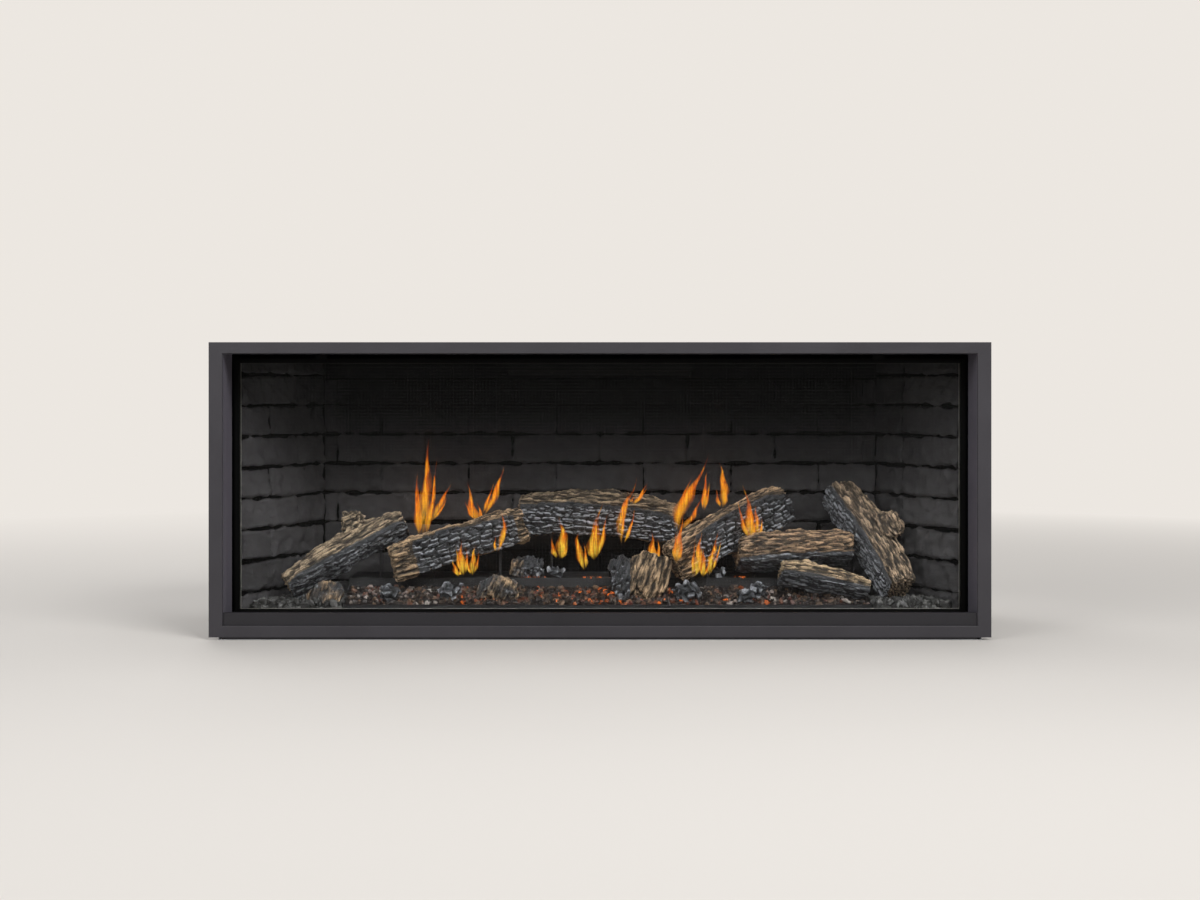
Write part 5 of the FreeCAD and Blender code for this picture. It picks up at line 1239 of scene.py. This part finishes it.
class FIREPLACE_OT_embers(bpy.types.Operator):
    """Fills the burner tray with ember chips, some of them glowing"""

    bl_idname = "fireplace.embers"
    bl_label = "Ember Bed"

    def execute(self, context):
        margin = 0.006
        lift = 0.001
        hot_spots = ((-0.26, 0.07), (-0.06, 0.13), (0.03, 0.08), (0.33, 0.03), (0.15, 0.06))
        glowing_rows = ((-0.18, -0.12), (-0.045, 0.03), (0.3, 0.33))
        dice = random.Random(7)
        bed = heap_of("ember_bed", "ember_heap", 0.006, 0.7, 0.12)
        low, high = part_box("ember_bed")
        places = []
        while len(places) < sizes().ember_chips:
            x = dice.uniform(low.x + margin, high.x - margin)
            y = dice.uniform(low.y + margin, high.y - margin)
            z = height_on(bed, x, y)
            if z is None:
                continue
            heat = sum(math.exp(-((x - centre) / reach) ** 2) for centre, reach in hot_spots)
            glow = dice.random() ** 1.5 if dice.random() < 0.2 * heat else 0.0
            tone = dice.random() * (1.0 if heat < 0.4 else 0.9)
            places.append((Vector((x, y, z + lift)), dice.uniform(0.007, 0.018), tone, glow))
        deck_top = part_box("burner_tray")[1].z
        for first, last in glowing_rows:
            for chip in range(16):
                x = dice.uniform(first, last)
                y = at_depth(dice.uniform(256, 272))
                glow = dice.choice((0.0, 0.4, 1.0))
                places.append((Vector((x, y, deck_top + lift)), dice.uniform(0.003, 0.007), 0.3, glow))
        models = chip_models("ember_chip", 5, dice)
        chips = strewn("ember_chips", bed, places, models, dice)
        finish_piece(chips, "fireplace", "ember", ember_finish(), "ember_bed")
        return {"FINISHED"}


class FIREPLACE_OT_gravel(bpy.types.Operator):
    """Heaps grey gravel on both sides of the burner"""

    bl_idname = "fireplace.gravel"
    bl_label = "Gravel"

    def execute(self, context):
        side_margin = 0.008
        front_margin = 0.006
        back_margin = 0.004
        least_heap = 0.002
        lift = 0.003
        dice = random.Random(11)
        # The heap under the stones takes the darkest tone: painted shade in the gaps between them.
        bed = heap_of("gravel_beds", "gravel_heap", 0.01, 0.8, 0.0)
        low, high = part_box("gravel_beds")
        inner = min(abs(corner.x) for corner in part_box("burner_tray"))
        places = []
        while len(places) < 2 * sizes().gravel_stones:
            x = dice.choice((-1, 1)) * dice.uniform(inner, high.x - side_margin)
            y = dice.uniform(low.y + front_margin, high.y - back_margin)
            z = height_on(bed, x, y)
            if z is None or z < low.z + least_heap:
                continue
            size = dice.uniform(0.011, 0.024)
            tone = dice.random() ** 1.4
            places.append((Vector((x, y, z + lift)), size, tone, 0.0))
        models = chip_models("gravel_stone", 6, dice)
        stones = strewn("gravel_stones", bed, places, models, dice)
        finish_piece(stones, "fireplace", "gravel", gravel_finish(), "gravel_beds")
        return {"FINISHED"}


def curve_point(points, share):
    """A point on a smooth line through points."""
    spans = len(points) - 1
    place_on = min(share * spans, spans - 1e-6)
    index = int(place_on)
    t = place_on - index
    p1 = points[index]
    p2 = points[index + 1]
    p0 = points[index - 1] if index else p1 * 2 - p2
    p3 = points[index + 2] if index + 2 <= spans else p2 * 2 - p1
    return 0.5 * (2 * p1 + (p2 - p0) * t + (2 * p0 - 5 * p1 + 4 * p2 - p3) * t * t
                  + (3 * p1 - p0 - 3 * p2 + p3) * t ** 3)


def flame_tongue(name, half_width, line, depth):
    """One closed tongue: a sphere drawn out along a line, flat from front to back, pointed at its tip."""
    flatness = 0.45
    waviness = 0.28
    sway_share = 0.35
    pole = 1e-6
    deselect()
    bpy.ops.mesh.primitive_uv_sphere_add(segments=20, ring_count=36, radius=1.0)
    tongue = added(name)
    points = [spot(x, depth, z) for x, z in line]
    rises = []
    edges = []
    for vertex in tongue.data.vertices:
        rise = 1.0 - math.acos(min(max(vertex.co.z, -1.0), 1.0)) / math.pi
        ring = math.hypot(vertex.co.x, vertex.co.y)
        cosine = vertex.co.x / ring if ring > pole else 0.0
        sine = vertex.co.y / ring if ring > pole else 0.0
        swell = 1.6 * math.sin(math.pi * rise ** 0.65) * (1.0 - rise) ** 0.7 * smooth_step(-0.05, 0.3, rise)
        wave = 1.0 + waviness * math.sin(11.0 * rise + half_width + 1.6 * cosine)
        sway = sway_share * half_width * math.sin(7.0 * rise + half_width) * rise
        reach = half_width * MM * swell * wave
        offset = Vector((reach * cosine + sway * MM, flatness * reach * sine, 0.0))
        vertex.co = curve_point(points, rise) + offset
        rises.append(rise)
        edges.append(abs(cosine))
    write_values(tongue, "rise", rises)
    write_values(tongue, "across", edges)
    take(tongue)
    bpy.ops.object.shade_smooth()
    return tongue


def licks(half_width, line, dice):
    """A tongue and the two thin licks that leave it: half width and line of each."""
    core_share = 0.72
    lick_share = 0.36
    foot_rise = 6
    yield core_share * half_width, line
    foot = line[0]
    tip = line[-1]
    for side in (-1, 1):
        rise = dice.uniform(0.45, 0.85)
        spread = side * half_width * dice.uniform(0.5, 0.9)
        reach = foot[0] + (tip[0] - foot[0]) * rise + spread * dice.uniform(0.8, 1.7)
        top = foot[1] + (tip[1] - foot[1]) * rise
        start = (foot[0] + spread * 0.4, foot[1] + foot_rise)
        middle = ((foot[0] + reach) / 2 + spread * 0.5, (foot[1] + top) / 2)
        yield lick_share * half_width, (start, middle, (reach, top))


class FIREPLACE_OT_flames(bpy.types.Operator):
    """Draws the flames among the logs"""

    bl_idname = "fireplace.flames"
    bl_label = "Flames"

    def execute(self, context):
        dice = random.Random(5)
        for name, (yellow, depth, tongues) in FLAMES.items():
            drawn = []
            for tongue_width, tongue_line in tongues:
                for half_width, line in licks(tongue_width, tongue_line, dice):
                    index = len(drawn)
                    drawn.append(flame_tongue(f"{name}_{index}", half_width, line, depth + 2 * index))
            flame = joined(drawn, name)
            finish_piece(flame, "fireplace", "ember", flame_finish(name, yellow))
        return {"FINISHED"}


class FIREPLACE_OT_screen(bpy.types.Operator):
    """Strings the fine wires of the safety screen"""

    bl_idname = "fireplace.screen"
    bl_label = "Screen Wires"

    def execute(self, context):
        pitch = sizes().wire_pitch
        radius = sizes().wire_radius
        low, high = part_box("screen_mesh")
        wide = high.x - low.x
        tall = high.z - low.z
        middle_y = (low.y + high.y) / 2
        centre = (low + high) / 2
        sets = []
        for name, length, span, turn, step, offset in (
            ("upright_wires", tall, wide, 0.0, Vector((1.0, 0.0, 0.0)), -radius),
            ("level_wires", wide, tall, math.pi / 2, Vector((0.0, 0.0, 1.0)), radius),
        ):
            count = int(span / pitch)
            middle = Vector((centre.x, middle_y + offset, centre.z))
            start = middle - step * (count - 1) * pitch / 2
            deselect()
            bpy.ops.mesh.primitive_cylinder_add(
                vertices=5, radius=radius, depth=length, location=start, rotation=(0.0, turn, 0.0))
            wire = added(name)
            settle(wire)
            modify(wire, "ARRAY", count=count, use_relative_offset=False, use_constant_offset=True,
                   constant_offset_displace=step * pitch)
            sets.append(wire)
        screen = joined(sets, "screen_wires")
        finish_piece(screen, "screen", "screen_black", bpy.data.materials["screen_black"], "screen_mesh")
        return {"FINISHED"}


class FIREPLACE_OT_gasket(bpy.types.Operator):
    """Lays the woven rope gasket behind the door glass"""

    bl_idname = "fireplace.gasket"
    bl_label = "Rope Gasket"

    def execute(self, context):
        gasket = copy_of_node("door_gasket", "rope_gasket")
        modify(gasket, "BEVEL", width=0.0014, segments=3, limit_method="ANGLE")
        take(gasket)
        bpy.ops.object.shade_smooth_by_angle(angle=math.radians(40))
        finish_piece(gasket, "door", "gasket_rope", bpy.data.materials["gasket_rope"], "door_gasket")
        return {"FINISHED"}


OPERATORS = (
    FIREPLACE_OT_stage,
    FIREPLACE_OT_finishes,
    FIREPLACE_OT_brick_liner,
    FIREPLACE_OT_logs,
    FIREPLACE_OT_chunks,
    FIREPLACE_OT_embers,
    FIREPLACE_OT_gravel,
    FIREPLACE_OT_flames,
    FIREPLACE_OT_screen,
    FIREPLACE_OT_gasket,
)


class FIREPLACE_PT_panel(bpy.types.Panel):
    """Lists the pieces, sizes and colours of the fireplace"""

    bl_idname = "FIREPLACE_PT_panel"
    bl_label = "Gas Fireplace"
    bl_space_type = "VIEW_3D"
    bl_region_type = "UI"
    bl_category = "Fireplace"

    def draw(self, context):
        layout = self.layout
        for operator in OPERATORS:
            layout.operator(operator.bl_idname)
        for group in (context.scene.fireplace_sizes, context.scene.fireplace_colours):
            box = layout.box()
            for name in group.bl_rna.properties.keys():
                if name not in ("rna_type", "name"):
                    box.prop(group, name)


CLASSES = (FireplaceSizes, FireplaceColours) + OPERATORS + (FIREPLACE_PT_panel,)


def register():
    """Registers the classes and the scene's settings."""
    for cls in CLASSES:
        bpy.utils.register_class(cls)
    bpy.types.Scene.fireplace_sizes = bpy.props.PointerProperty(type=FireplaceSizes)
    bpy.types.Scene.fireplace_colours = bpy.props.PointerProperty(type=FireplaceColours)


def unregister():
    """Removes what register added."""
    del bpy.types.Scene.fireplace_colours
    del bpy.types.Scene.fireplace_sizes
    for cls in reversed(CLASSES):
        bpy.utils.unregister_class(cls)


def main():
    """Builds the whole scene."""
    register()
    for operator in OPERATORS:
        module, name = operator.bl_idname.split(".")
        getattr(getattr(bpy.ops, module), name)()
    deselect()


if __name__ == "__main__":
    main()
